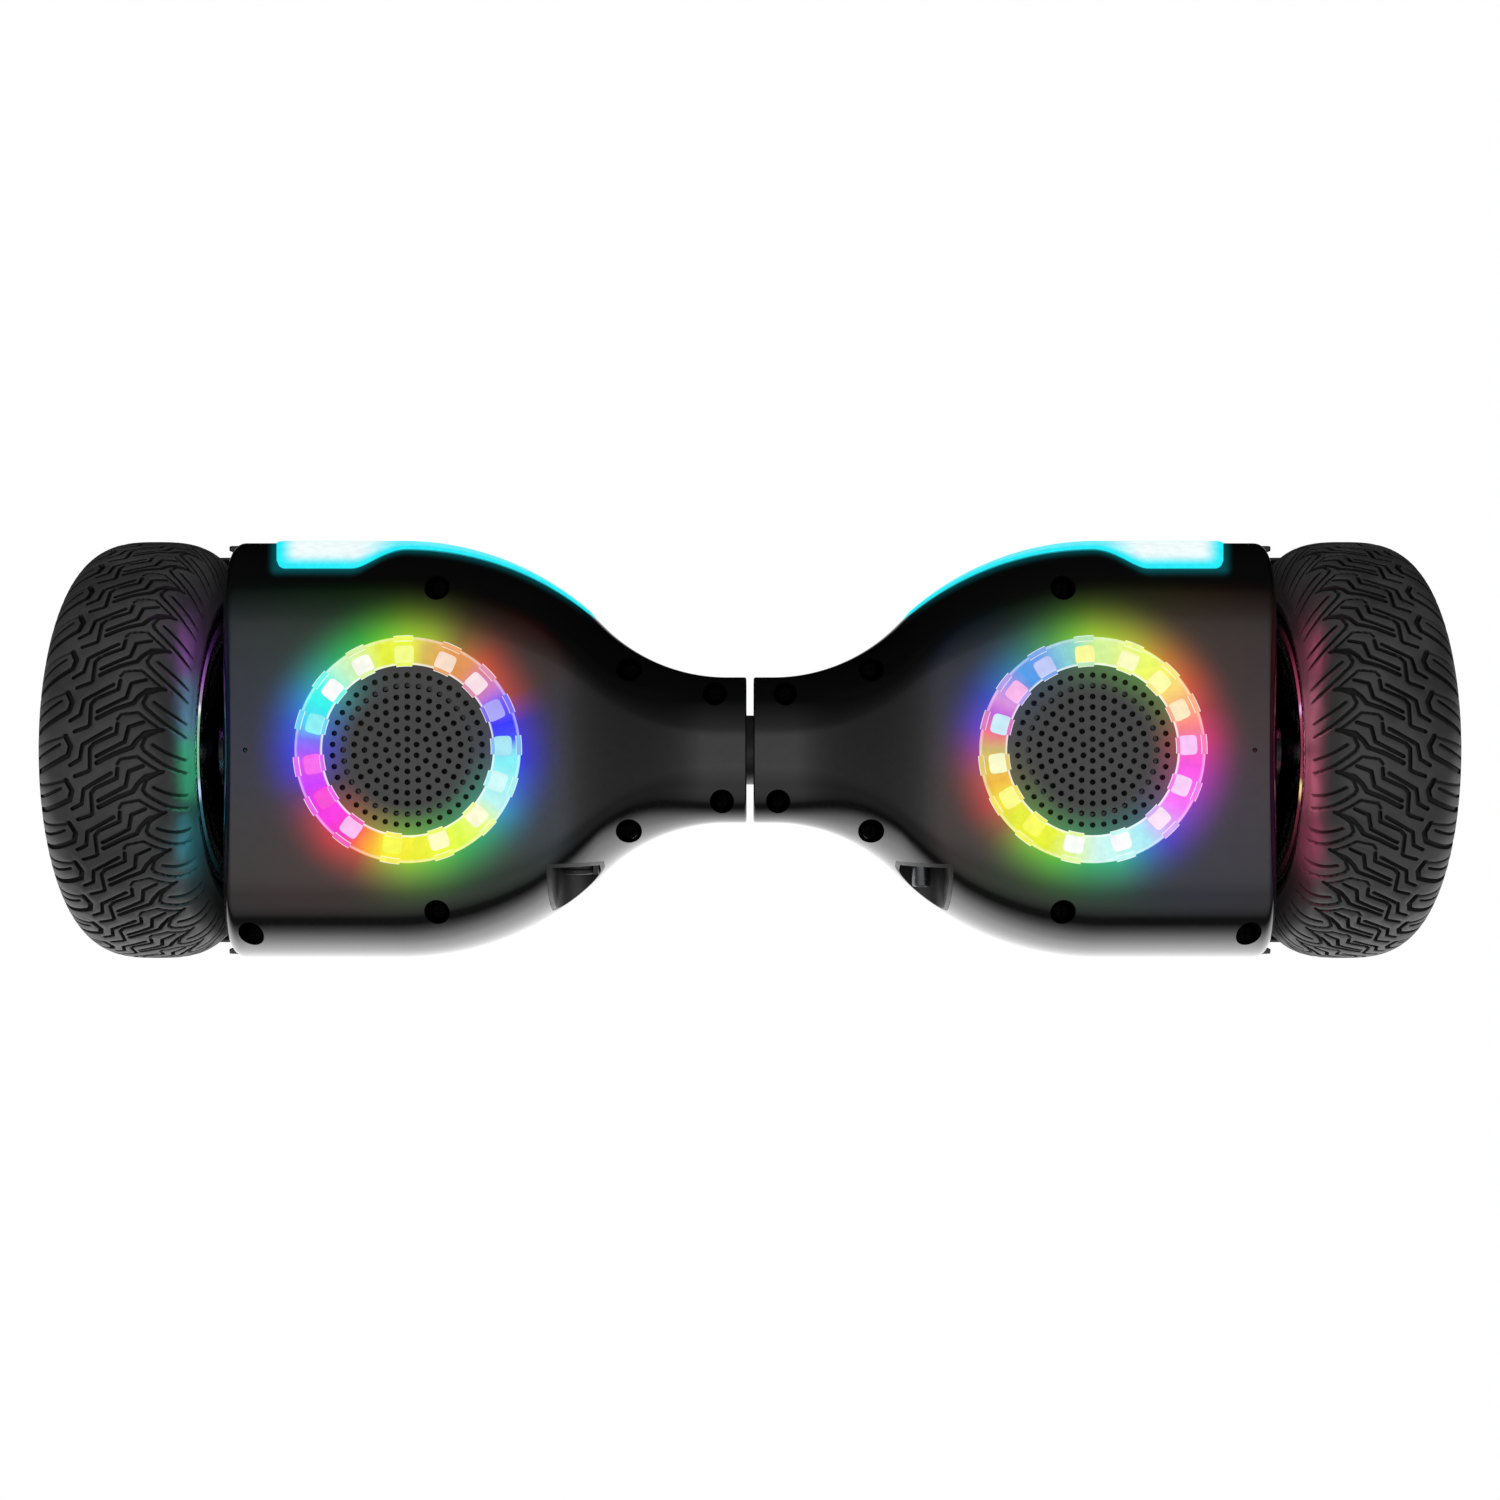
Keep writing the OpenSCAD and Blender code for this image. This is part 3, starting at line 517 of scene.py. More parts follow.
INNER_GLOW = {  # the ring's glow painted on the grille as emission
    -1: [
        (0, (0, 0, 0)), (60, (0, 0, 0)), (90, (0, 30, 60)), (125, (0, 120, 95)), (150, (20, 130, 60)),
        (180, (95, 160, 10)), (200, (140, 130, 10)), (225, (140, 55, 20)), (245, (60, 20, 70)),
        (270, (40, 40, 190)),
        (290, (0, 95, 170)), (310, (0, 130, 130)), (330, (0, 65, 60)), (346, (0, 0, 0)),
    ],
    1: [
        (0, (40, 95, 20)), (30, (60, 115, 20)), (60, (80, 95, 20)), (85, (140, 40, 40)),
        (110, (110, 30, 85)), (140, (20, 65, 95)), (165, (0, 100, 85)), (190, (20, 120, 65)),
        (220, (65, 120, 20)), (250, (75, 75, 20)),
        (280, (30, 30, 45)), (310, (0, 35, 65)), (335, (10, 55, 55)),
    ],
}
# Reach, wide faint spread and strength of the ring's glow painted on the shell
GLOW_REACH = 23.0
WIDE_REACH = 70.0
WIDE_LEVEL = 0.035
GLOW_POWER = 1.9
GLOW_LEVEL = 1.35
# Colour, reach and strength of the light bar's halo painted on the shell
HALO_RGB = (0.0, 0.62, 0.72, 1)
HALO_REACH = 5.0
HALO_POWER = 1.7
HALO_LEVEL = 0.12
BAR_START = 66.0
BAR_END = SHELL_END - 16
BAR_SLANT = 0.227
BAR_THIN = 143.0
BAR_FULL = 164.0
THIN_TURN = 30
FULL_TURN = 54


def bar_turn(x):
    """How far round the corner from the seam the light bar reaches, in degrees."""
    inner = THIN_TURN * np.clip((x - BAR_START) / (BAR_THIN - BAR_START), 0.001, 1) ** 0.38
    outer = mix(THIN_TURN, FULL_TURN, smooth((x - BAR_THIN) / (BAR_FULL - BAR_THIN)))
    return np.where(x < BAR_THIN, inner, outer)


def glow_nodes(n, table, side, near, far):
    """Painted ring glow as (colour, strength) on a surface beside the ring, by place on the object: the
    ring's light painted as emission.
    """
    x, y, z = n.parts(n.place())
    off = n.math("SUBTRACT", x, side * RING_X * MM)
    distance = n.length(off, y)
    turn = n.math("ARCTAN2", off, n.math("MULTIPLY", y, -1.0))
    turn = n.math("FRACT", n.math("ADD", n.math("DIVIDE", turn, 2 * math.pi), 1.0))
    colour = n.ramp(turn, circle_stops(table))
    return colour, n.spread(distance, near * MM, far * MM, 1.0, 0.0), (x, y, z), distance


def bar_edge(n, along):
    """How far forward of the axle the light bar's lower edge lies, as a curve along the half."""
    span = BAR_END - BAR_START
    xs = np.linspace(BAR_START, BAR_END, 24)
    ys = low_point(xs, bar_turn(xs))[:, 1]
    points = [((x - BAR_START) / span, y / BODY_HALF) for x, y in zip(xs, ys)]
    edge = n.node("ShaderNodeFloatCurve")
    curve = edge.mapping.curves[0]
    curve.points[0].location, curve.points[1].location = points[0], points[-1]
    for p in points[1:-1]:
        curve.points.new(*p)
    edge.mapping.update()
    n.link(n.math("DIVIDE", n.math("SUBTRACT", along, BAR_START), span), edge.inputs["Value"])
    return n.product(edge.outputs[0], BODY_HALF)


def shell_material(name, side):
    """Gloss black, with the ring's glow and the light bar's halo painted on as emission."""
    n = Nodes(name)
    colour, strength, (x, y, z), distance = glow_nodes(n, GLOW[side], side, RING_R - 8, RING_R + GLOW_REACH)
    strength = n.product(n.math("POWER", strength, GLOW_POWER), GLOW_LEVEL)
    under = n.spread(z, (BELLY_Z + 1) * MM, (BELLY_Z + 9) * MM, 1.0, 0.0)
    flat = n.spread(z, (BELLY_Z + 0.5) * MM, (BELLY_Z + 6) * MM, 1.0, 0.0)
    wide = n.product(n.spread(distance, RING_R * MM, (RING_R + WIDE_REACH) * MM, WIDE_LEVEL, 0.0), flat)
    # the ring's light painted on the underside as emission
    glow = n.scaled(colour, n.product(n.math("ADD", strength, wide), under))
    # Painted halo of the bar's light: distance in plan from the bar's edge, on the front side only
    along = n.product(x, side / MM)
    inner = n.math("MAXIMUM", n.math("SUBTRACT", bar_edge(n, along), n.product(y, -1 / MM)), 0.0)
    drop = n.math("SUBTRACT", SEAM_Z, n.product(z, 1 / MM))
    past = n.math("SUBTRACT", n.math("ADD", along, n.product(drop, BAR_SLANT)), BAR_END)
    gap = n.length(inner, n.math("MAXIMUM", past, 0.0))
    halo = n.math("POWER", n.spread(gap, 0.0, HALO_REACH, 1.0, 0.0), HALO_POWER)
    fade = n.spread(along, BAR_START - 4, BAR_START + 25, 0.0, 1.0)
    lower = n.spread(z, (SEAM_Z - 1) * MM, SEAM_Z * MM, 1.0, 0.0)
    halo = n.mix(n.product(halo, fade, lower, HALO_LEVEL), grey(0.0), HALO_RGB)
    smear = n.noise(9.0, 4.0, 0.6)
    speck = n.noise(420.0, 3.0, 0.6)
    return n.set(
        Base_Color=n.mix(smear, grey(0.0012), grey(0.003)),
        Roughness=n.spread(speck, 0.35, 0.75, 0.10, 0.17),
        Normal=n.bump(n.noise(160.0, 2.0), 0.00003, 0.5),
        Emission_Color=n.mix(1.0, glow, halo, "ADD"),
        Emission_Strength=1.0,
        Coat_Weight=0.35,
        Coat_Roughness=0.06,
    )


def lamp_material(name):
    """Lit plastic: each point's own colour, with a faint milky mottling. It also carries the reflection line
    painted on the rims.
    """
    n = Nodes(name)
    tint = n.node("ShaderNodeAttribute", attribute_name="tint", attribute_type="GEOMETRY")
    cloud = n.spread(n.noise(260.0, 3.0), 0.3, 0.7, 0.9, 1.0)
    return n.set(
        Base_Color=grey(0.02),
        Roughness=n.spread(cloud, 0.9, 1.0, 0.2, 0.3),
        Emission_Color=n.mix(1.0, tint.outputs["Color"], cloud, "MULTIPLY"),
        Emission_Strength=1.0,
        Specular_IOR_Level=0.4,
    )


def grille_material(name, side):
    n = Nodes(name)
    # the ring's glow painted on the grille as emission
    colour, strength, *_ = glow_nodes(n, INNER_GLOW[side], side, RING_BORE_R + 2, RING_BORE_R - 13)
    grain = n.noise(1500.0, 2.0)
    return n.set(
        Base_Color=n.mix(n.noise(30.0, 3.0), grey(0.030), grey(0.042)),
        Roughness=n.spread(grain, 0.3, 0.7, 0.5, 0.65),
        Normal=n.bump(grain, 0.00005, 0.6),
        Emission_Color=n.mix(strength, grey(0.0), colour),
        Emission_Strength=1.0,
    )


SIDES = ((-1, "left"), (1, "right"))
BODY = {side: f"{name}_half" for side, name in SIDES}
shell_mats = {side: shell_material(f"gloss_shell_{name}", side) for side, name in SIDES}
grille_mats = {side: grille_material(f"grille_{name}", side) for side, name in SIDES}
gloss_black = plastic("gloss_black", (0.008,) * 3, 0.16, 500.0, 0.00002, 0.3, coat=0.35)
satin_black = plastic("satin_black", (0.016,) * 3, 0.42)
painted_shade_black = plastic("painted_shade_black", (0.0006,) * 3, 0.6, spec=0.0)
# matt black without reflection: painted shade in the screw recesses and the grille's holes
screw_black = metal("blackened_steel", (0.004, 0.004, 0.0045), 0.5)
tyre_mat = rubber("tyre_rubber", 0.024, 0.55)
# darker rubber in the grooves: painted shade
groove_shade_mat = rubber("tyre_groove_shade", 0.006, 0.8)
pad_mat = rubber("pad_rubber", 0.022, 0.7)
cap_mat = rubber("cap_rubber", 0.016, 0.55)
lens_and_painted_line_mat = lamp_material("lit_lens_and_painted_line")
alloy = metal("cast_alloy", (0.42, 0.43, 0.45), 0.42, depth=0.00006)
steel = metal("steel", (0.55, 0.56, 0.58), 0.25, (1, 8, 8))
dark_steel = metal("dark_steel", (0.09, 0.09, 0.095), 0.32)
rim_dark = metal("rim_dark", (0.05, 0.05, 0.055), 0.24)
face_alloy = metal("face_alloy", (0.2, 0.2, 0.21), 0.3)
bright_alloy = metal("bright_alloy", (0.5, 0.51, 0.53), 0.28, (8, 1, 1))
copper = metal("winding", (0.55, 0.25, 0.12), 0.35, (9, 1, 1))
bronze = metal("bronze", (0.5, 0.33, 0.12), 0.3)
board_green = plastic("board_green", (0.012, 0.09, 0.035), 0.35, 1500.0)
board_white = plastic("board_white", (0.75, 0.75, 0.72), 0.4, 1200.0, spread=0.05)
battery_wrap = plastic("battery_wrap", (0.02, 0.09, 0.35), 0.3, 120.0, 0.0002)
button_mat = metal("button", (0.13, 0.135, 0.14), 0.3)
status_mat = plastic("status_lens", (0.45, 0.55, 0.62), 0.2, 900.0, spread=0.05)
SLOT_MATERIALS = {
    "shell": gloss_black, "fender": gloss_black, "tyre": tyre_mat, "rim": rim_dark, "cast_alloy": alloy,
    "steel": steel, "dark_steel": dark_steel, "motor_iron": copper, "pad_rubber": pad_mat,
    "cap_rubber": cap_mat,
    "board": board_green, "lamp_board": board_white, "ring_light": lens_and_painted_line_mat, "front_light": lens_and_painted_line_mat,
    "status_light": status_mat, "grille": satin_black, "black_plastic": satin_black, "button": button_mat,
    "battery": battery_wrap, "bronze": bronze,
}
for item in frame["record"]["subparts"]:
    data = frame["nodes"][item["node"]].data
    data.materials.clear()
    data.materials.append(SLOT_MATERIALS[item["material_slot"]])

# ---- Shells ----
NECK_ROUND = 0.9
END_ROUND = 4.5
SEAM_ROUND = 0.5
FLAT_COLUMNS = 16


def stations():
    """(x, inward offset) along one half, rounded over at both ends."""
    turns = np.radians(np.linspace(0, 90, 7))
    near = [(HALF_GAP + NECK_ROUND * (1 - math.sin(t)), NECK_ROUND * (1 - math.cos(t))) for t in turns[::-1]]
    middle = np.concatenate([
        np.linspace(HALF_GAP + NECK_ROUND + 1, NECK_LEN, 5),
        np.linspace(NECK_LEN + 1.4, WIDE_X, 100),
        np.linspace(WIDE_X + 1.5, SHELL_END - END_ROUND - 0.8, 48),
    ])
    far = [(SHELL_END - END_ROUND * (1 - math.sin(t)), END_ROUND * (1 - math.cos(t))) for t in turns]
    return near + [(x, 0.0) for x in middle] + far


def tub_row(point, slant, x, turns, off, lip_off):
    """One closed half of a section: down one side, across the flat and up the other side."""
    lip = point(x, 0.0, lip_off)
    half = np.concatenate([lip[None], point(np.full(len(turns), x), turns, off)])
    flat, height = half[-1][1:]
    ys = np.linspace(flat, -flat, FLAT_COLUMNS + 2)[1:-1]
    middle = np.column_stack([np.full(FLAT_COLUMNS, x), ys, np.full(FLAT_COLUMNS, height)])
    row = np.concatenate([half, middle, half[::-1] * (1, -1, 1)])
    share = np.clip((x - WIDE_X) / (SHELL_END - WIDE_X), 0, 1) * slant
    row[:, 0] -= share * (SEAM_Z - row[:, 2]) / (BELLY_DROP - SEAM_DROP)
    return row


def tub(point, slant):
    """A closed shell from a skin function: skin, lining and the strip between them at the seam."""
    turns = np.concatenate([[0.55], np.linspace(1.5, 90, 40)])
    skin = np.array([tub_row(point, slant, x, turns, -off, -off - SEAM_ROUND) for x, off in stations()])
    inside = [min(max(x, HALF_GAP + WALL), SHELL_END - WALL) for x, _ in stations()]
    lining = np.array([tub_row(point, slant, x, turns, -WALL, -WALL) for x in inside])
    keep = [0]
    for k in range(1, len(lining)):
        if lining[k][0][0] > lining[keep[-1]][0][0] + 0.01:
            keep.append(k)
    lining = lining[keep]
    n, m = skin.shape[:2]
    k = len(lining)
    b = Build()
    b.grid(skin)
    b.grid(lining, flip=True)
    far = n * m
    faces = [list(range(m))[::-1], [(n - 1) * m + j for j in range(m)]]
    faces += [[far + j for j in range(m)], [far + (k - 1) * m + j for j in range(m)][::-1]]
    points = np.concatenate(b.points)
    out, inner = ([start + i * m for i in range(count)] for start, count in ((0, n), (far, k)))
    out_end, inner_end = ([i + m - 1 for i in row] for row in (out, inner))
    faces += strip(points, out, inner) + strip(points, inner_end, out_end)
    faces.append([out[0], inner[0], inner_end[0], out_end[0]])
    faces.append([out[-1], out_end[-1], inner_end[-1], inner[-1]])
    b.faces += faces
    b.kinds += [0] * len(faces)
    return b


def strip(points, a, c):
    """Triangles between two rows of different counts, joined by their places along the half."""
    faces = []
    i = j = 0
    while i < len(a) - 1 or j < len(c) - 1:
        ahead_a = points[a[i + 1]][0] if i < len(a) - 1 else math.inf
        ahead_c = points[c[j + 1]][0] if j < len(c) - 1 else math.inf
        if ahead_a <= ahead_c:
            faces.append([a[i], a[i + 1], c[j]])
            i += 1
        else:
            faces.append([a[i], c[j + 1], c[j]])
            j += 1
    return faces


def notch_rows(grow, floor_y):
    """Outline of a rear notch in the XZ plane, round above and open below, pushed out to the rear."""
    t = np.linspace(0, np.pi, 40)
    r = NOTCH_R + grow
    outline = [(NOTCH_X + r * math.cos(a), NOTCH_Z + r * math.sin(a)) for a in t]
    outline += [(NOTCH_X - r, NOTCH_Z - BELLY_DROP), (NOTCH_X + r, NOTCH_Z - BELLY_DROP)]
    return np.array([[(x, y, z) for x, z in outline] for y in (floor_y, floor_y + BODY_HALF)])


SCREW_SPOTS = [  # the rear ones are set in from the edge
    *((x, float(half_depth(x)) - inset) for x, inset in ((11.9, 9.6), (50.6, 9.4), (128.0, 20.8))),
    (SHELL_END - 15, BODY_HALF - 13), (15.0, -24.0), (50.6, -33.6), (128.0, -66.4),
]
AXLE_HOLE_R = 18.0
PIVOT_HOLE_R = 16.5
DRAIN_R = 1.0
RECESS_R = 4.6
RECESS_DEPTH = 9.0
HEAD_R = 3.6
HEAD_H = 2.5


def cup(b, x, y):
    """A screw recess: a soft lip on the skin, a round wall and a floor, all in the black of painted shade."""
    seat = float(skin_height(x, y)) + RECESS_DEPTH
    lip = [(0.6, 0.3), (0.55, 0.0), (0.3, -0.05), (0.1, 0.02), (-0.02, 0.25), (-0.08, 0.8), (-0.12, 1.6)]
    floor = [(-0.15, 0), (-1.0, 0.15), (0.05 - RECESS_R, 0.15), (0.05 - RECESS_R, 1.4), (0.6, 1.4)]
    rows = upright(x, y, [(RECESS_R + dr, dz) for dr, dz in lip + floor], 48)
    on_skin = rows[:len(lip)]
    on_skin[..., 2] += skin_height(on_skin[..., 0], on_skin[..., 1])
    rows[len(lip):, :, 2] += seat
    b.grid(rows, around=True, along=True, kind=1)


def end_holes(b, end):
    """Cutters for the axle's hole, which starts at end, and for the pivot's hole."""
    b.solid(about_axle([(AXLE_HOLE_R, end), (AXLE_HOLE_R, SHELL_END + 4)], 64))
    b.solid(about_axle([(PIVOT_HOLE_R, -2), (PIVOT_HOLE_R, HALF_GAP + WALL + 1)], 64))


def bottom_shell(side, name):
    shell = tub(low_point, END_SLANT).mesh("shell_raw")
    c = Build()
    for x, y in SCREW_SPOTS:
        c.solid(rod(x, y, 0, float(skin_height(x, y)) + RECESS_DEPTH + 1, RECESS_R + 0.2))
    for x, r, steps in ((RING_X, RING_R + 0.2, 160), (SHELL_END - 15, DRAIN_R, 20)):
        c.solid(rod(x, 0, BELLY_Z - 3, BELLY_Z + WALL + 2, r, steps))
    end_holes(c, SHELL_END - END_SLANT - 6)
    c.solid(notch_rows(LINER_T, NOTCH_Y - LINER_T))
    shell = cut(shell, c.mesh("cutter"))
    cups = Build()
    for x, y in SCREW_SPOTS:
        cup(cups, x, y)
    return to_side(joined(shell, cups.mesh("cups"), f"{name}_casing", 30), side)


def plan_outline(x0, x1, margin, radius, steps=40):
    """The pad's outline in plan, counter-clockwise, with rounded corners."""
    xs = np.linspace(x0, x1, steps)
    path = []
    front = np.column_stack([xs, margin - half_depth(xs)])
    for part in (front, front[::-1] * (1, -1)):
        inside = part[(part[:, 0] > x0 + radius) & (part[:, 0] < x1 - radius)]
        path += round_corner(part[0], inside[0], radius, False) + inside.tolist()
        path += round_corner(part[-1], inside[-1], radius, True)
    return np.array(path)


def round_corner(corner, near, radius, leaving):
    """A quarter arc at a corner of the pad, from its long side to its end or back."""
    sx = 1 if near[0] > corner[0] else -1
    sy = -1 if corner[1] > 0 else 1
    centre = np.array([corner[0] + sx * radius, corner[1] + sy * radius])
    t = np.linspace(0, np.pi / 2, 9)
    arc = [(centre[0] - sx * radius * math.sin(a), centre[1] - sy * radius * math.cos(a)) for a in t]
    return arc if leaving else arc[::-1]


def plate(outline, low, high):
    """Rows of an upright plate from an outline in plan."""
    return [np.column_stack([outline, np.full(len(outline), z)]) for z in (low, high)]


def outline_normals(outline):
    ahead = np.roll(outline, -1, 0) - np.roll(outline, 1, 0)
    normal = np.stack([ahead[:, 1], -ahead[:, 0]], -1)
    return normal / np.linalg.norm(normal, axis=1, keepdims=True)


STATUS_X = 30.0
STATUS_LEN = 9.0


def status_outline(grow):
    t = np.linspace(0, np.pi, 17)
    r = 4 + grow
    upper = [(STATUS_X + r * math.cos(a), STATUS_LEN / 2 + r * math.sin(a)) for a in t]
    lower = [(STATUS_X - r * math.cos(a), -STATUS_LEN / 2 - r * math.sin(a)) for a in t]
    return np.array(upper + lower)


def top_shell(side, name):
    c = Build()
    pad = plan_outline(PAD_START - PAD_GAP, PAD_END + PAD_GAP, PAD_MARGIN - PAD_GAP, PAD_CORNER + PAD_GAP)
    c.solid(plate(pad, DECK_Z - 8, DECK_Z + 8))
    end_holes(c, SHELL_END - 6)
    if side < 0:
        c.solid(plate(status_outline(0.1), DECK_Z - 8, DECK_Z + 8))
    mesh = cut(tub(top_point, 0.0).mesh("shell_raw"), c.mesh("cutter"))
    mesh.name = f"{name}_deck"
    finish_mesh(mesh, 30)
    return to_side(mesh, side)


for side, name in SIDES:
    show(bottom_shell(side, name), f"{name}_casing", BODY[side], [shell_mats[side], painted_shade_black],
         [f"{name}_bottom_shell"])
    show(top_shell(side, name), f"{name}_deck", BODY[side], [gloss_black], [f"{name}_top_shell"])


# ---- Screw heads in the recesses ----
def screw_head(b, x, y, top):
    """A pan head with a cross recess, facing down."""
    profile = [(0.35, 1.0), (1.0, 1.0), (1.0, 0.45), (0.93, 0.18), (0.78, 0.04), (0.62, 0.0)]
    low = top - HEAD_H
    rows = upright(x, y, [(HEAD_R * r, low + HEAD_H * h) for r, h in profile], 48)
    t = circle(48)
    arms = np.abs(np.mod(t + np.pi / 4, np.pi / 2) - np.pi / 4)
    reach = np.where(arms < 0.3, HEAD_R * 0.55, HEAD_R * 0.2)
    cross = [np.column_stack([x + r * np.cos(t), y + r * np.sin(t), np.full(48, z)])
             for r, z in ((reach, low + 0.02), (reach * 0.8, top - HEAD_H * 0.35))]
    b.solid([*rows, *cross])


for side, name in SIDES:
    b = Build()
    for x, y in SCREW_SPOTS:
        screw_head(b, x, y, float(skin_height(x, y)) + RECESS_DEPTH)
    show(b.mesh("heads", side), f"{name}_casing_screws", BODY[side], [screw_black], [f"{name}_shell_screws"])

# ---- Light rings ----
WINDOW_R = 38.9
WINDOW_W = 3.9
WINDOW_L = 3.6
CLIPS = ((RING_R - 1.7, RING_R + 0.7, 5.0, -0.24), (RING_BORE_R - 0.8, RING_BORE_R + 1.2, 5.4, -0.26))
LAMPS = {
    -1: [
        (-2, (245, 255, 130)), (23.4, (250, 222, 200)), (46.1, (252, 225, 232)), (65.5, (165, 160, 250)),
        (87.5, (165, 230, 245)), (109.3, (205, 252, 250)), (133.6, (254, 253, 215)), (160.8, (253, 253, 190)),
        (189, (250, 253, 60)), (216, (250, 185, 240)), (239.8, (250, 60, 215)), (261.4, (250, 95, 240)),
        (285.8, (130, 240, 245)), (308.8, (250, 252, 252)), (332.3, (250, 252, 238)),
    ],
    1: [
        (-4.6, (252, 252, 150)), (21.7, (252, 254, 190)), (44.6, (254, 254, 165)), (65.3, (252, 232, 190)),
        (87, (252, 195, 250)), (111.8, (250, 205, 250)), (135.7, (253, 225, 250)), (162.7, (250, 253, 253)),
        (191.2, (250, 255, 250)), (217.8, (250, 253, 80)), (240, (252, 253, 130)), (262, (250, 253, 200)),
        (285.5, (200, 235, 250)), (307.3, (250, 180, 235)), (330.1, (190, 200, 250)),
    ],
}
BAND = {
    -1: [
        (0, (235, 250, 20)), (10, (215, 185, 75)), (24, (232, 150, 60)), (36, (222, 138, 72)),
        (46, (222, 120, 160)), (55, (195, 110, 200)), (62, (110, 75, 245)), (75, (0, 0, 250)),
        (84, (40, 60, 250)), (90, (120, 225, 245)),
        (98, (125, 243, 250)), (121, (185, 247, 245)), (134, (235, 255, 120)), (147, (222, 255, 60)),
        (160, (235, 250, 30)), (175, (242, 242, 0)), (192, (252, 240, 10)), (202, (252, 165, 5)),
        (210, (250, 90, 60)), (216, (250, 30, 180)), (228, (252, 10, 225)), (240, (240, 15, 235)),
        (250, (200, 25, 250)), (262, (225, 60, 250)), (268, (160, 70, 250)), (276, (115, 105, 250)),
        (284, (60, 200, 250)), (297, (0, 243, 240)), (308, (40, 250, 235)), (320, (190, 245, 200)),
        (332, (215, 245, 150)), (345, (228, 240, 30)),
    ],
    1: [
        (0, (205, 240, 140)), (8, (215, 245, 150)), (22, (235, 250, 110)), (33, (235, 252, 90)),
        (45, (250, 235, 90)), (55, (250, 205, 110)), (65, (252, 165, 110)), (76, (252, 125, 130)),
        (87, (250, 90, 180)), (99, (250, 65, 225)), (112, (248, 90, 240)), (123, (248, 105, 250)),
        (136, (210, 160, 250)), (149, (165, 235, 248)), (163, (190, 250, 245)), (177, (205, 247, 240)),
        (191, (225, 250, 150)), (205, (228, 242, 0)), (218, (240, 245, 10)), (229, (225, 235, 20)),
        (240, (245, 225, 30)), (252, (238, 180, 40)), (262, (225, 195, 60)), (270, (205, 180, 100)),
        (280, (240, 100, 130)), (290, (190, 80, 220)), (299, (215, 140, 220)), (308, (160, 140, 235)),
        (318, (60, 150, 230)), (330, (90, 150, 235)), (342, (125, 200, 215)), (352, (145, 220, 190)),
    ],
}


def ring_place(side, degrees, radius, z):
    """A place on a ring in plan, degrees clockwise from the front seen from below."""
    t = np.radians(degrees)
    x = RING_X + side * radius * np.sin(t)
    return np.stack(np.broadcast_arrays(x, -radius * np.cos(t), z), -1)


def ring_light(side):
    """Points are made for the right half and mirrored, so the ring's angles are turned back first."""
    b = Build()
    degrees = np.arange(0, 360, 1.5)
    profile = [  # (radius, height over the belly, how much whiter than the band)
        (RING_BORE_R, WALL, 0.1), (RING_BORE_R, 0.35, 0.55), (RING_BORE_R + 0.1, 0.1, 0.75),
        (RING_BORE_R + 0.35, 0.0, 0.75), (RING_BORE_R + 0.7, 0.08, 0.35), (RING_BORE_R + 1.0, 0.14, 0.0),
        (40.0, 0.12, 0.0), (RING_R - 1.4, 0.14, 0.0), (RING_R - 1.1, 0.06, 0.1), (RING_R - 0.5, -0.05, 0.35),
        (RING_R - 0.1, 0.12, 0.3), (RING_R, 0.4, 0.1), (RING_R, WALL, 0.0),
    ]
    band = on_circle(BAND[side], degrees)
    rows = np.array([ring_place(side, degrees, r, BELLY_Z + dz) for r, dz, _ in profile])
    tints = np.array([mix(band, 1, white) for *_, white in profile])
    b.grid(rows, around=True, along=True, colour=tints)
    for angle, rgb in LAMPS[side]:
        colour = on_circle(BAND[side], angle)
        lamp_window(b, side, angle, linear(rgb), colour)
        for r0, r1, width, lift in CLIPS:
            clip(b, side, angle, r0, r1, width, lift, colour)
    return to_side(b.mesh("ring", 1, 35, True), side)


def lamp_window(b, side, angle, lamp, band):
    """A rounded square lens over one lamp, standing a little proud."""
    px, py = squircle(40, 0.4)
    a = math.radians(angle)
    rows, tints = [], []
    for scale, dz, share in [(1.04, 0.6, 0), (1.04, 0.05, 0.4), (1.0, -0.1, 1), (0.92, -0.2, 1),
                             (0.5, -0.24, 1), (0.02, -0.25, 1)]:
        across, out = WINDOW_W * scale * px, WINDOW_R + WINDOW_L * scale * py
        x = RING_X + side * (out * math.sin(a) + across * math.cos(a))
        y = -(out * math.cos(a) - across * math.sin(a))
        rows.append(np.column_stack([x, y, np.full(len(x), BELLY_Z + dz)]))
        tints.append(np.broadcast_to(mix(band, lamp, share), (len(x), 3)))
    b.solid(rows, colour=np.array(tints))


def clip(b, side, angle, r0, r1, width, lift, band):
    """A low tab across the ring's edge, with bright rims."""
    degrees = np.linspace(angle - width, angle + width, 9)
    edge = 0.16
    loop = [(r0, 0.5, 0.2), (r0, lift + 0.1, 1), (r0 + edge, lift, 1), (r0 + 1.8 * edge, lift + 0.04, 0.08),
            (r1 - 1.8 * edge, lift + 0.04, 0.08), (r1 - edge, lift, 1), (r1, lift + 0.1, 1), (r1, 0.5, 0.2)]
    rows = np.array([ring_place(side, degrees, r, BELLY_Z + dz) for r, dz, _ in loop])
    tints = np.array([np.broadcast_to(mix(band, 1, 0.9 * w), (len(degrees), 3)) for *_, w in loop])
    b.solid(np.swapaxes(rows, 0, 1), colour=np.swapaxes(tints, 0, 1))


for side, name in SIDES:
    show(ring_light(side), f"{name}_light_ring", BODY[side], [lens_and_painted_line_mat], [f"{name}_ring_lens"])


# ---- Light bars ----
BAR_EDGE_RGB = np.array([0.0, 0.87, 1.0])
BAR_CORE_RGB = np.array([0.9, 1.0, 1.0])


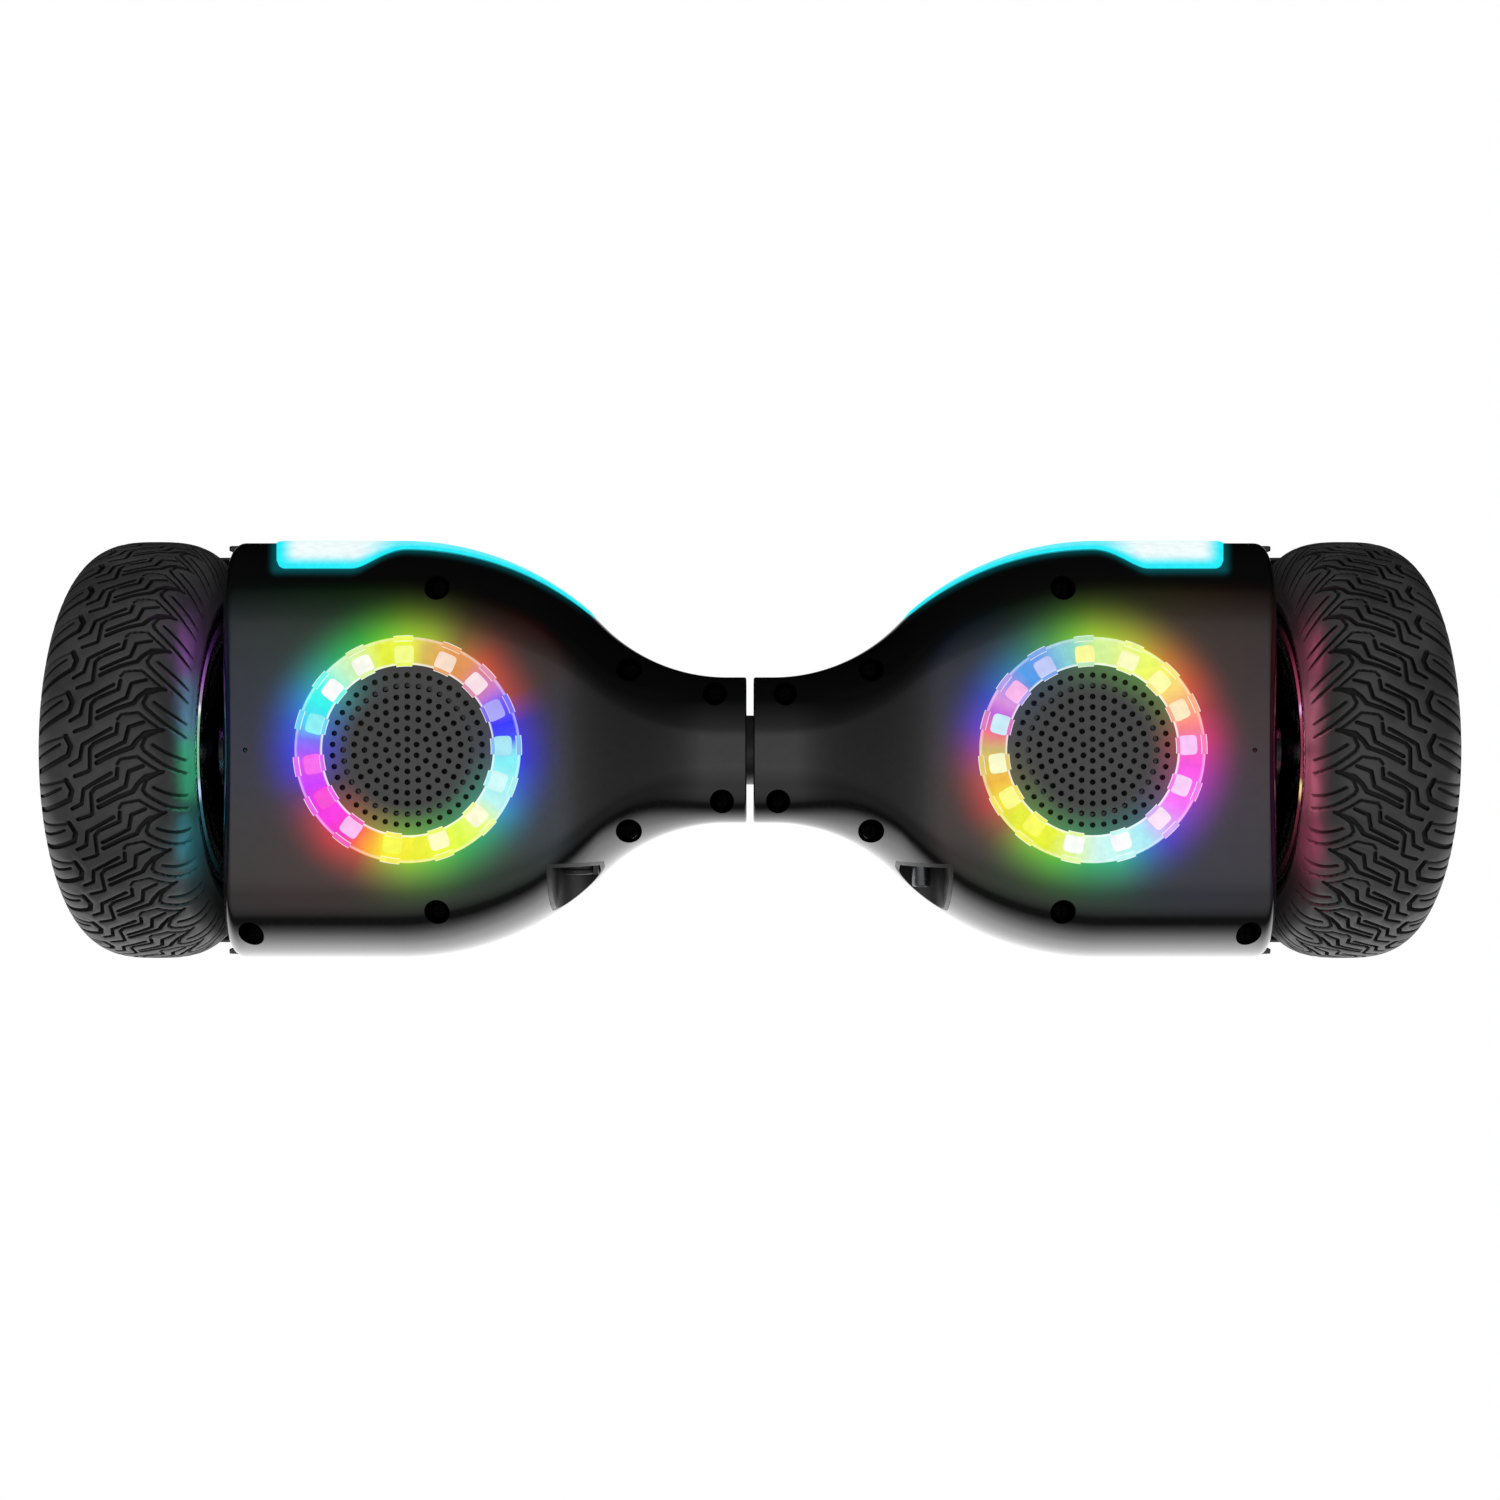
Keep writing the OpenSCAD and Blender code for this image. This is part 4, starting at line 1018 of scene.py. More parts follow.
def light_bar(side):
    b = Build()
    across = np.linspace(0, 1, 29)
    deep = (1 - np.cos(np.pi * across)) / 2
    rows, tints = [], []
    for x in np.linspace(BAR_START, BAR_END, 150):
        to = float(bar_turn(x))
        lean = BAR_SLANT * float(smooth((x - BAR_FULL) / (BAR_END - BAR_FULL)))
        end = BAR_END - x
        shrink = math.sqrt(max(1 - (1 - min(end / 3.5, 1)) ** 2, 0.0))
        start = min((x - BAR_START) / 3 + 0.1, 1)
        middle, half = (1 + to) / 2, (to - 1) / 2 * (0.7 + 0.3 * shrink) * start
        swell = 0.15 + 0.85 * min(shrink, start)
        outer = [(middle - half * math.cos(math.pi * u), math.sin(math.pi * u) ** 0.35 * swell + 0.05)
                 for u in across]
        row = [low_point(x, max(t, 0.1), off) for t, off in outer]
        row += [low_point(x, max(t, 0.1), -0.5) for t, _ in outer[::-1]]
        rows.append([p - (lean * (SEAM_Z - p[2]), 0, 0) for p in row])
        core = smooth((deep - 0.1) / 0.22) * smooth((0.97 - deep) / 0.22) * float(smooth((end - 1) / 9))
        core = core * mix(0.16, 1.0, float(smooth((x - BAR_THIN - 4) / 18)))
        glow = mix(BAR_EDGE_RGB, BAR_CORE_RGB, core[:, None])
        tints.append(np.concatenate([glow, glow * 0]))
    b.solid(np.array(rows) * (1, -1, 1), colour=np.array(tints))
    return b.mesh("bar", side, 40, True)


for side, name in SIDES:
    show(light_bar(side), f"{name}_front_light", BODY[side], [lens_and_painted_line_mat], [f"{name}_light_bar"])

# ---- Tyres ----
PITCHES = 32
PITCH = 2 * math.pi * WHEEL_R / PITCHES
TREAD_LINES = [  # (points of a groove, half width, depth); mm from the middle plane, mm round the tyre
    ([(-11.8, 6.05), (-7.7, 3.7), (-6.6, -2.1), (4.4, -8.5)], 0.6, 2.4),
    ([(-1.1, 2.5), (9.9, -3.3), (11.3, -9.2), (16.5, -11.2)], 0.6, 2.4),
    ([(-9.9, 10.4), (-4.7, 8.5), (-3.8, 7.7), (-3.7, -0.5), (-1.9, -2.7), (6.6, -6.6), (7.0, -10.4)],
     0.6, 2.2),
    ([(-1.1, 5.1), (6, 1.4), (12.6, -1.1), (14.3, -3.8), (17.3, -6.9), (23, -8.4)], 0.75, 2.2),
    ([(6.9, 5.5), (8.2, 3.6), (14.6, 2.6), (22.1, 8.8)], 0.4, 1.6),
    ([(-28, 10.4), (-12.5, 2.2), (-11.4, -1.5), (-13.5, -5.5)], 0.9, 2.6),
    ([(-13.5, -5.5), (-28, -1.6)], 0.35, 1.0),
    ([(-16, -2.2), (-28, 4.1)], 0.45, 2.0),
    ([(20, -2.2), (29.6, 5.2)], 0.45, 2.0),
    ([(22.0, -8.0), (17.6, -5.4), (16.2, -1.6), (17.0, 0.2), (29.6, 11.8)], 0.5, 1.8),
]
TREAD_EDGE = 29.6
TREAD_BASE_R = 54
LIP = 0.4
GROOVE_SLOPE = 0.22
GROOVE_EDGES = (0, GROOVE_SLOPE, GROOVE_SLOPE + LIP)
SIDEWALL = [  # (a, radius) from the tread's edge in to the bead
    (30.1, 69.8), (30.4, 68.1), (30.62, 67.0), (30.9, 66.4), (31.0, 65.7), (30.5, 64.4), (30.6, 63.4),
    (29.6, 61.6), (27.6, 59.6), (26.6, 58.6), (26.2, 57.4), (25.2, 56.0)]


def tyre_radius(t):
    """The tread's radius at a share t of the tyre's half width."""
    return TREAD_BASE_R + (WHEEL_R - TREAD_BASE_R) * (1 - np.abs(t) ** 3) ** (1 / 3)


def line_gap(points, a, c):
    """Distance from places on the tread to a bent line that repeats round the tyre."""
    gap = np.full(np.broadcast(a, c).shape, 1e9)
    for (a0, c0), (a1, c1) in zip(points, points[1:]):
        for shift in (-PITCH, 0, PITCH):
            da, dc = a1 - a0, c1 - c0
            u = np.clip(((a - a0) * da + (c - c0 - shift) * dc) / (da * da + dc * dc), 0, 1)
            gap = np.minimum(gap, np.hypot(a - a0 - u * da, c - c0 - shift - u * dc))
    return gap


def tread_depth(a, c):
    """Depth of the tread's grooves at (a, c): a rounded lip, then a steep wall."""
    depth = np.zeros(np.broadcast(a, c).shape)
    for points, half, deep in TREAD_LINES:
        gap = line_gap(points, a, c)
        wall = np.interp(gap - half, GROOVE_EDGES, [deep, 0.2, 0])
        depth = np.maximum(depth, wall)
    return depth


def arc(centre, radius, start, turn, steps):
    return [centre + radius * np.array([math.cos(start + turn * u), math.sin(start + turn * u)])
            for u in np.linspace(0, 1, steps)]


def beside(points, gap):
    """A line at a distance to the left of a bent line, round at its outer corners."""
    out, before = [], None
    for p, q in zip(points, points[1:]):
        way = (q - p) / np.linalg.norm(q - p)
        normal = np.array([-way[1], way[0]])
        if before is None:
            out.append(p + gap * normal)
        elif before[0] * normal[1] - before[1] * normal[0] > 0:
            out.append(p + gap * (before + normal) / (1 + before @ normal))
        else:
            turn = -math.acos(np.clip(before @ normal, -1, 1))
            out += arc(p, gap, math.atan2(before[1], before[0]), turn, 4)
        before = normal
    out.append(points[-1] + gap * before)
    return out + arc(points[-1], gap, math.atan2(before[1], before[0]), -math.pi, 7)[1:-1]


def outline_of(points, gap, step=2.0):
    """The closed outline round a bent line, with its long edges divided."""
    points = np.array(points, float)
    loop = beside(points, gap) + beside(points[::-1], gap)
    fine = []
    for p, q in zip(loop, loop[1:] + loop[:1]):
        parts = max(1, int(np.linalg.norm(q - p) / step))
        fine += [p + (q - p) * u / parts for u in range(parts)]
    return fine


def tread_cell():
    """One pitch of the tyre's surface in triangles, as (s, c) points; s runs from bead to bead."""
    points, edges = [], []

    def add_loop(loop):
        start = len(points)
        points.extend(Vector(p) for p in loop)
        edges.extend((start + k, start + (k + 1) % len(loop)) for k in range(len(loop)))

    outer = TREAD_EDGE + len(SIDEWALL)
    columns = np.concatenate([-np.arange(len(SIDEWALL), 0, -1) - TREAD_EDGE,
                              TREAD_EDGE * np.sin(np.linspace(-1, 1, 34) * 1.25) / math.sin(1.25),
                              np.arange(1, len(SIDEWALL) + 1) + TREAD_EDGE])
    rounds = np.linspace(0, PITCH, 6)
    add_loop([(q, 0.0) for q in columns] + [(outer, c) for c in rounds[1:-1]]
             + [(q, PITCH) for q in columns[::-1]] + [(-outer, c) for c in rounds[-2:0:-1]])
    for line, half, _ in TREAD_LINES:
        for shift in (-PITCH, 0, PITCH):
            moved = [(a, c + shift) for a, c in line]
            if max(c for _, c in moved) < -2 or min(c for _, c in moved) > PITCH + 2:
                continue
            for edge in GROOVE_EDGES:
                add_loop(outline_of(moved, half + edge))
    aa, cc = np.meshgrid(columns[1:-1], rounds[1:-1])
    near = np.min([abs(line_gap(line, aa, cc) - half - edge)
                   for line, half, _ in TREAD_LINES for edge in GROOVE_EDGES], 0)
    points.extend(Vector(p) for p in np.column_stack([aa[near > 0.4], cc[near > 0.4]]))
    done, _, faces, *_ = delaunay_2d_cdt(points, edges, [], 0, 1e-4)
    flat = np.array([tuple(v) for v in done])
    middle = np.array([flat[list(f)].mean(0) for f in faces])
    inside = (np.abs(middle[:, 0]) < outer) & (middle[:, 1] > 0) & (middle[:, 1] < PITCH)
    return flat, [f for f, keep in zip(faces, inside) if keep], outer, rounds


def tyre():
    """The right tyre. Its inner sidewall, toward the body, is at +s."""
    flat, faces, outer, rounds = tread_cell()
    s, c = flat[:, 0], flat[:, 1]
    depth = tread_depth(s, c) * smooth((30.0 - np.abs(s)) / 1.6)
    over = np.abs(s) - TREAD_EDGE
    half_width = TYRE_W / 2
    steps = np.arange(len(SIDEWALL) + 1)
    wall_a = np.interp(over, steps, [TREAD_EDGE] + [a for a, _ in SIDEWALL])
    wall_r = np.interp(over, steps, [float(tyre_radius(TREAD_EDGE / half_width))] + [r for _, r in SIDEWALL])
    a = np.where(over > 0, np.sign(s) * wall_a, s)
    tread_r = tyre_radius(np.clip(s, -TREAD_EDGE, TREAD_EDGE) / half_width) - depth
    r = np.where(over > 0, wall_r, tread_r)
    # faces deep in the grooves take the darker rubber of painted shade
    kinds = [int(depth[list(f)].mean() > 0.75) for f in faces]
    b = Build()
    bead_a, bead_r = SIDEWALL[-1]
    for k in range(PITCHES):
        b.add(round_tyre(a, r, c + k * PITCH), faces)
        b.kinds[-len(faces):] = kinds
        b.grid(np.array([round_tyre(sign * bead_a, bead_r, rounds + k * PITCH) for sign in (1, -1)]))
    mesh = b.mesh("tyre", 1, 40)
    work = bmesh.new()
    work.from_mesh(mesh)
    bmesh.ops.remove_doubles(work, verts=work.verts, dist=0.02 * MM)
    work.to_mesh(mesh)
    work.free()
    finish_mesh(mesh, 40)
    return mesh


def round_tyre(a, r, c):
    """Places at a from the middle plane toward the body, at radius r and c mm round the tyre."""
    turn = c / WHEEL_R
    return np.stack(np.broadcast_arrays(WHEEL_X - a, r * np.sin(turn), AXLE_Z - r * np.cos(turn)), -1)


right_tyre = tyre()
for side, name in SIDES:
    show(to_side(right_tyre.copy(), side), f"{name}_tread_tyre", f"{name}_wheel", [tyre_mat, groove_shade_mat],
         [f"{name}_tyre"])

# ---- Grilles ----
HOLE_RINGS = 7
HOLE_PITCH = 4.36
HOLE_R = 1.1
GRILLE_R = RING_BORE_R - 0.1
GRILLE_T = 2.0


def grille(side, name):
    """A thin disc with rings of round holes, each hole with a soft edge."""
    b = Build()
    edge = [(0, GRILLE_T), (0, 0.3), (-0.1, 0.08), (-0.35, 0.0)]
    b.solid(upright(RING_X, 0, [(GRILLE_R + dr, BELLY_Z + dz) for dr, dz in edge], 180))
    holes = Build()
    hole = [(0.5, -0.35), (0.16, 0.02), (0, 0.25), (0, GRILLE_T + 1)]
    hole = [(HOLE_R + dr, BELLY_Z + dz) for dr, dz in hole]
    holes.solid(upright(RING_X, 0, hole, 20))
    for k in range(1, HOLE_RINGS + 1):
        for j in range(6 * k):
            t = math.radians(90 + 60 * j / k)
            reach = k * HOLE_PITCH
            holes.solid(upright(RING_X + reach * math.cos(t), reach * math.sin(t), hole, 20))
    mesh = cut(b.mesh("disc"), holes.mesh("holes"))
    mesh.name = f"{name}_speaker_grille"
    finish_mesh(mesh, 35)
    # the holes' walls take the black of painted shade
    for face in mesh.polygons:
        x, y, _ = face.center / MM
        in_hole = abs(face.normal.z) < 0.5 and math.hypot(x - RING_X, y) < GRILLE_R - 1
        face.material_index = int(in_hole)
    return to_side(mesh, side)


for side, name in SIDES:
    show(grille(side, name), f"{name}_speaker_grille", BODY[side], [grille_mats[side], painted_shade_black],
         [f"{name}_grille"])

# ---- Mudguards ----
GUARD_IN_R = WHEEL_R + 5.5
GUARD_OUT_R = GUARD_IN_R + 3.0
GUARD_REACH = 64.0
GUARD_END = WHEEL_X + TYRE_W / 2
WEB_T = 2.5
WEB_HOLE_R = 26.0
TAB_LEN = 6.0
GUARD_CORNER = 13.0
GUARD_LIP = 1.5
GUARD_NEAR = [  # (mm from the shell's end, mm from the middle of the sheet)
    (8.0, 1.0), (6.0, 1.05), (5.2, 1.5), (1.2, 1.5), (0.3, 1.2), (0, 0.6)]
GUARD_FAR = [  # (mm from the outer edge, mm from the middle of the sheet)
    (1.5, -1.5), (0.45, -1.1), (0, 0.0), (0.45, 1.1), (1.5, 1.5), (4.2, 1.5), (5.0, 1.05), (7.0, 1.0)]


def around_axle(x, r, degrees):
    """A place at a distance r from the axle, degrees from straight up toward the rear."""
    t = np.radians(degrees)
    return np.stack(np.broadcast_arrays(x, r * np.sin(t), AXLE_Z + r * np.cos(t)), -1)


def mudguard(side):
    b = Build()
    b.solid([guard_row(degrees) for degrees in guard_turns()])
    rows = []
    near, far = SHELL_END, SHELL_END + WEB_T
    for degrees in np.linspace(-90, 90, 91):
        top = min(GUARD_IN_R, BODY_HALF / max(abs(math.sin(math.radians(degrees))), 1e-6)) - 0.01
        loop = [(near, WEB_HOLE_R), (far - 0.5, WEB_HOLE_R), (far, WEB_HOLE_R + 0.5), (far, top), (near, top)]
        rows.append([around_axle(x, r, degrees) for x, r in loop])
    b.solid(rows)
    tab_top = AXLE_Z + GUARD_IN_R * math.cos(math.radians(GUARD_REACH)) + 1
    px, py = squircle(28, 0.35)
    for y in (-BODY_HALF + WALL / 2, BODY_HALF - WALL / 2):
        b.solid([np.column_stack([SHELL_END + TAB_LEN / 2 * (1 + px * k), y + WALL / 2 * py * k, [z] * 28])
                 for k, z in ((0.8, AXLE_Z), (1.0, AXLE_Z + 0.5), (1.0, tab_top - 0.6), (0.8, tab_top))])
    return b.mesh("guard", side, 35)


def guard_turns():
    """Degrees of the guard's sections, close together at both ends."""
    end = np.array([0, 0.15, 0.4, 0.8])
    middle = np.linspace(1.4 - GUARD_REACH, GUARD_REACH - 1.4, 110)
    return np.concatenate([end - GUARD_REACH, middle, GUARD_REACH - end[::-1]])


def guard_row(degrees):
    """One section of the guard, thinner and shorter near its ends."""
    left = (GUARD_REACH - abs(degrees)) * math.radians(1) * GUARD_OUT_R
    thin = math.sqrt(max(1 - (1 - min(left / GUARD_LIP, 1)) ** 2, 0.02))
    u = max(1 - left / GUARD_CORNER, 0)
    end = GUARD_END - GUARD_CORNER * (1 - math.sqrt(max(1 - u * u, 0)))
    middle = (GUARD_IN_R + GUARD_OUT_R) / 2
    loop = [(SHELL_END, -1.5)] + [(end - x, d) for x, d in GUARD_FAR] + [(mix(SHELL_END, end, 0.5), 1.0)]
    loop += [(SHELL_END + x, d) for x, d in GUARD_NEAR]
    return [around_axle(x, middle + d * thin, degrees) for x, d in loop]


for side, name in SIDES:
    show(mudguard(side), f"{name}_mudguard", BODY[side], [gloss_black], [f"{name}_fender"])


# ---- Foot pads ----
STUD_LEN = 6.6
STUD_R = 1.75
STUD_STEP = 6.2
STUD_LEAN = 32


def foot_pad(side):
    b = Build()
    outline = plan_outline(PAD_START, PAD_END, PAD_MARGIN, PAD_CORNER)
    normal = outline_normals(outline)
    base = PAD_TOP - 1.5
    foot = PAD_TOP - PAD_T
    edge = [(0.3, foot), (0.0, foot + 0.4), (0.0, PAD_TOP - 1.4), (0.15, PAD_TOP - 0.7),
            (0.6, PAD_TOP - 0.25), (1.3, PAD_TOP), (3.2, PAD_TOP), (3.9, PAD_TOP - 0.2),
            (4.4, base + 0.2), (4.9, base)]
    b.solid([np.column_stack([outline - normal * inset, np.full(len(outline), z)]) for inset, z in edge])
    c, s = np.cos(circle(26)), np.sin(circle(26))
    pill = np.column_stack([np.where(c > 0, 1, -1) * (STUD_LEN - STUD_R) + STUD_R * c, STUD_R * s])
    stud = ((1.06, -0.3), (1.03, 0.1), (1.0, 0.9), (0.93, 1.3), (0.75, 1.48))
    for k, x in enumerate(np.linspace(PAD_START + 12.5, PAD_END - 12.5, 9)):
        lean = math.radians(STUD_LEAN if k % 2 else -STUD_LEAN)
        turn = np.array([[math.cos(lean), math.sin(lean)], [-math.sin(lean), math.cos(lean)]])
        reach = float(half_depth(x)) - PAD_MARGIN - 10.5
        for y in np.arange(-8, 9) * STUD_STEP:
            if abs(y) > reach:
                continue
            tops = [pill * (1 - (1 - wide) * 0.4, wide) @ turn + (x, y) for wide, _ in stud]
            b.solid([np.column_stack([top, np.full(26, base + z)]) for top, (_, z) in zip(tops, stud)])
    return b.mesh("pad", side, 40)


for side, name in SIDES:
    show(foot_pad(side), f"{name}_tread_pad", f"{name}_pad", [pad_mat], [f"{name}_foot_pad"])

# ---- Wheels: rim, motor cover; a is the distance outward from the tyre's middle plane ----
SPOKES = 5
RIM_STEPS = 240
COVER_SCREWS_R = 42
PAINTED_LINE_R = 55.0
PAINTED_LINE_HALF = 1.8
RIM_PAINTED_REFLECTION = {  # the reflection line painted on the rim as emission, with painted glints: (degrees from straight down toward the rear, sRGB)
    -1: [(-70, (0, 0, 0)), (-48, (50, 20, 70)), (-30, (150, 90, 170)), (-21, (160, 150, 170)),
         (-17.5, (250, 255, 255)), (-14, (150, 190, 165)), (0, (130, 190, 150)), (12, (120, 180, 160)),
         (15, (200, 215, 250)), (19, (190, 210, 250)), (23, (50, 100, 110)), (45, (10, 40, 45)),
         (70, (0, 0, 0)), (180, (0, 0, 0))],
    1: [(-70, (0, 0, 0)), (-48, (70, 10, 30)), (-30, (150, 50, 80)), (-21, (190, 80, 120)),
        (-17.5, (255, 190, 255)), (-14, (170, 70, 100)), (0, (120, 40, 60)), (12, (150, 60, 80)),
        (15, (255, 225, 150)), (19, (250, 200, 140)), (23, (110, 40, 55)), (45, (50, 10, 20)),
        (70, (0, 0, 0)), (180, (0, 0, 0))],
}


def pocket(r, t):
    """Hollows between the spokes of the wheel's outer face, in mm along the axle."""
    step = 2 * np.pi / SPOKES
    off = np.abs(np.mod(t + step / 2, step) - step / 2) * r
    half = mix(3.2, 13.5, np.clip((r - 18) / 26, 0, 1))
    inside = smooth((half - off + 1.2) / 2.4) * smooth((r - 18.5) / 2.2) * smooth((46.2 - r) / 2.2)
    turn = np.mod(t, step) - step / 2
    bolt = np.hypot(r * np.cos(turn) - 13.0, r * np.sin(turn))
    return -3.2 * inside - 1.2 * smooth((2.6 - bolt) / 0.8)


def rim(side):
    """The rim, with the places of its bright lips and of the reflection line painted on the inner face."""
    face = [(0.3, 27.4), (3.0, 27.4), (6.0, 27.2), (7.6, 26.8), (8.2, 26.1), (8.6, 25.5), (9.2, 25.5)]
    face += [(r, 26.0) for r in np.concatenate([np.arange(9.8, 18, 0.7), np.arange(18.2, 48.4, 0.62)])]
    lip = [(48.6, 26.05), (49.2, 26.3), (50.6, 28.3), (51.6, 29.1), (52.4, 29.4), (53.0, 29.5), (56.6, 29.5),
           (57.4, 29.3), (57.9, 28.8), (58.0, 28.2), (58.0, 27.5), (57.6, 27.3), (56.0, 27.3)]
    inside = [(56.0, -27.3), (57.6, -27.3), (58.0, -27.5), (58.0, -28.9), (57.5, -29.4), (57.0, -29.5),
              (PAINTED_LINE_R + PAINTED_LINE_HALF, -29.5), (PAINTED_LINE_R - PAINTED_LINE_HALF, -29.5), (48.0, -29.5),
              (47.2, -29.2), (47.0, -28.8), (47.0, 20.5), (46.0, 21.0), (0.3, 21.0)]
    profile = face + lip + inside
    start, back = len(face), len(face + lip)
    kinds = [0] * (len(profile) - 1)
    kinds[:start - 1] = [2] * (start - 1)
    kinds[start + 4:start + 9] = kinds[back + 1:back + 6] = [1] * 5
    # the painted reflection line takes the lit material
    kinds[back + 6] = 3
    t = circle(RIM_STEPS)
    rows = about_axle([(r, WHEEL_X + a) for r, a in profile], RIM_STEPS)
    rows[:start, :, 0] += [pocket(r, t) for r, _ in face]
    b = Build()
    b.solid(rows, colour=np.tile(on_circle(RIM_PAINTED_REFLECTION[side], np.degrees(t) + 90), (len(profile), 1)))
    b.kinds[:len(kinds) * RIM_STEPS] = np.repeat(kinds, RIM_STEPS).tolist()
    return b.mesh("rim", side, 38, True)


def motor_cover(side):
    b = Build()
    profile = [(8.1, -20.0), (8.1, -30.6), (8.6, -31.0), (17.9, -31.0), (18.8, -30.6), (19.0, -29.8),
               (19.3, -28.8), (20.2, -28.3), (23.0, -28.3), (23.6, -27.9), (36.6, -27.9), (37.2, -28.3),
               (45.6, -28.3), (46.5, -27.9), (46.8, -27.2), (46.8, -24.8), (19.0, -24.8), (19.0, -20.0)]
    b.grid(about_axle([(r, WHEEL_X + a) for r, a in profile], 144), around=True, along=True)
    for k in range(12):
        t = math.radians(30 * k + 15)
        c, s = math.cos(t), math.sin(t)
        b.solid([[(WHEEL_X - 27.9 + w, r * c - v * s, AXLE_Z + r * s + v * c)
                  for v, w in ((-1.1, 0.4), (-0.8, -0.35), (0.8, -0.35), (1.1, 0.4))] for r in (22.5, 37.5)])
    return b.mesh("cover", side, 35)


def cover_screws(side):
    """Six screws round the motor cover, each with a lobed recess."""
    b = Build()
    t = circle(36)
    profile = ((1.8, -25.0, 0), (3.4, -28.2, 0), (3.4, -29.0, 0), (3.1, -29.6, 0), (2.4, -29.85, 0),
               (1.75, -29.9, 0.07), (1.55, -29.3, 0.07), (1.5, -28.9, 0.07))
    for k in range(6):
        angle = math.radians(60 * k)
        y, z = COVER_SCREWS_R * math.cos(angle), AXLE_Z + COVER_SCREWS_R * math.sin(angle)
        rows = []
        for r, a, lobe in profile:
            reach = r * (1 - lobe * np.cos(6 * t))
            x = np.full(36, WHEEL_X + a)
            rows.append(np.column_stack([x, y + reach * np.cos(t), z + reach * np.sin(t)]))
        b.solid(rows)
    return b.mesh("screws", side, 35)


for side, name in SIDES:
    wheel = f"{name}_wheel"
    # the last slot shows the rim's painted reflection line
    show(rim(side), f"{name}_wheel_rim", wheel, [rim_dark, bright_alloy, face_alloy, lens_and_painted_line_mat],
         [f"{name}_rim"])
    show(motor_cover(side), f"{name}_motor_cover", wheel, [rim_dark], [f"{name}_hub_cover"])
    show(cover_screws(side), f"{name}_cover_screws", wheel, [screw_black], [f"{name}_hub_screws"])


# ---- Charging inlet and power button in the rear notches ----
def filled_skin():
    """The solid that the lower skin encloses, fine enough to trim the liners to."""
    b = Build()
    turns = np.linspace(0, 90, 41)
    halves = [low_point(np.full(len(turns), x), turns, 0.02)
              for x in np.linspace(NOTCH_X - 16, NOTCH_X + 16, 40)]
    rows = np.array([np.concatenate([half, half[::-1] * (1, -1, 1)]) for half in halves])
    n, m = rows.shape[:2]
    b.grid(rows)
    near = [i * m for i in range(n)]
    far = [i * m + m - 1 for i in range(n)]
    faces = [list(range(m))[::-1], [(n - 1) * m + j for j in range(m)]]
    faces += [[near[i], near[i + 1], far[i + 1], far[i]][::-1] for i in range(n - 1)]
    b.faces += faces
    b.kinds += [0] * len(faces)
    return b.mesh("filled")


def liner():
    outer, inner = Build(), Build()
    outer.solid(notch_rows(LINER_T - 0.1, NOTCH_Y - LINER_T))
    inner.solid(notch_rows(0.0, NOTCH_Y))
    return cut(cut(outer.mesh("outer"), inner.mesh("inner")), filled_skin(), "INTERSECT")


def show_small(mesh, name, side, body, material, part):
    """A finished piece of the rear notches, put on its side."""
    mesh.name = name
    finish_mesh(mesh, 35)
    show(to_side(mesh, side), name, body, [material], [part])


CAP_Y = NOTCH_Y + 1.9
CAP_T = 2.2
CAP_R = 6.5
CAP_PIVOT = NOTCH_X - NOTCH_R + 1.9
SOCKET = [  # (radius, mm behind the notch's floor)
    (6.5, -12), (6.5, 1.2), (6.1, 1.7), (5.5, 1.7), (5.3, 1.4), (5.3, -4), (5.0, -4), (5.0, -10)]
PIN = [(0.8, -10.2), (0.8, -5.0), (0.55, -4.6), (0.2, -4.5)]
CAP = [  # (radius, mm behind the cap's inner face)
    (4.6, -0.05), (CAP_R - 0.3, 0), (CAP_R, 0.4), (CAP_R, 1.5), (CAP_R - 0.25, 1.95), (CAP_R - 0.9, CAP_T),
    (CAP_R - 1.9, CAP_T), (CAP_R - 2.3, 1.8), (0.3, 1.8)]
BUTTON = [
    (5.7, -3.1), (5.7, -1.75), (3.9, -1.7), (3.9, 8.4), (3.75, 9.0), (3.35, 9.35), (2.6, 9.4), (2.3, 9.1),
    (0.2, 9.0)]


def turned_y(b, x, z, profile, start, steps):
    b.solid(along_y(x, z, [(r, start + y) for r, y in profile], steps))


b = Build()
turned_y(b, NOTCH_X, NOTCH_Z, SOCKET, NOTCH_Y, 48)
for k in range(3):
    t = math.radians(120 * k + 90)
    turned_y(b, NOTCH_X + 2.6 * math.cos(t), NOTCH_Z - 2.6 * math.sin(t), PIN, NOTCH_Y, 20)
for z in (NOTCH_Z - 3.7, NOTCH_Z + 2.2):
    b.box((CAP_PIVOT - 1.1, NOTCH_Y - 0.01, z), (CAP_PIVOT + 1.1, CAP_Y + CAP_T, z + 1.5))
b.solid(rod(CAP_PIVOT, CAP_Y + CAP_T / 2, NOTCH_Z - 3.5, NOTCH_Z + 3.5, 0.6, 20))
socket = joined(liner(), b.mesh("socket_parts"), "inlet_socket", 35)
show_small(socket, "inlet_socket", -1, "left_half", satin_black, "charge_socket")

b = Build()
turned_y(b, NOTCH_X, NOTCH_Z, CAP, CAP_Y, 60)
b.box((CAP_PIVOT + 0.6, CAP_Y + 0.4, NOTCH_Z - 1.9),
      (NOTCH_X - CAP_R + 1.5, CAP_Y + CAP_T - 0.4, NOTCH_Z + 1.9))
b.solid(rod(CAP_PIVOT, CAP_Y + CAP_T / 2, NOTCH_Z - 1.95, NOTCH_Z + 1.95, 1.1, 28))
for z in NOTCH_Z + 0.9 * np.arange(-2, 3):
    b.box((NOTCH_X + CAP_R - 3.4, CAP_Y + 1.7, z - 0.2),
          (NOTCH_X + CAP_R - 2.4, CAP_Y + CAP_T - 0.02, z + 0.2))
show_small(b.mesh("cap"), "inlet_cap", -1, "port_cap", cap_mat, "port_cap")

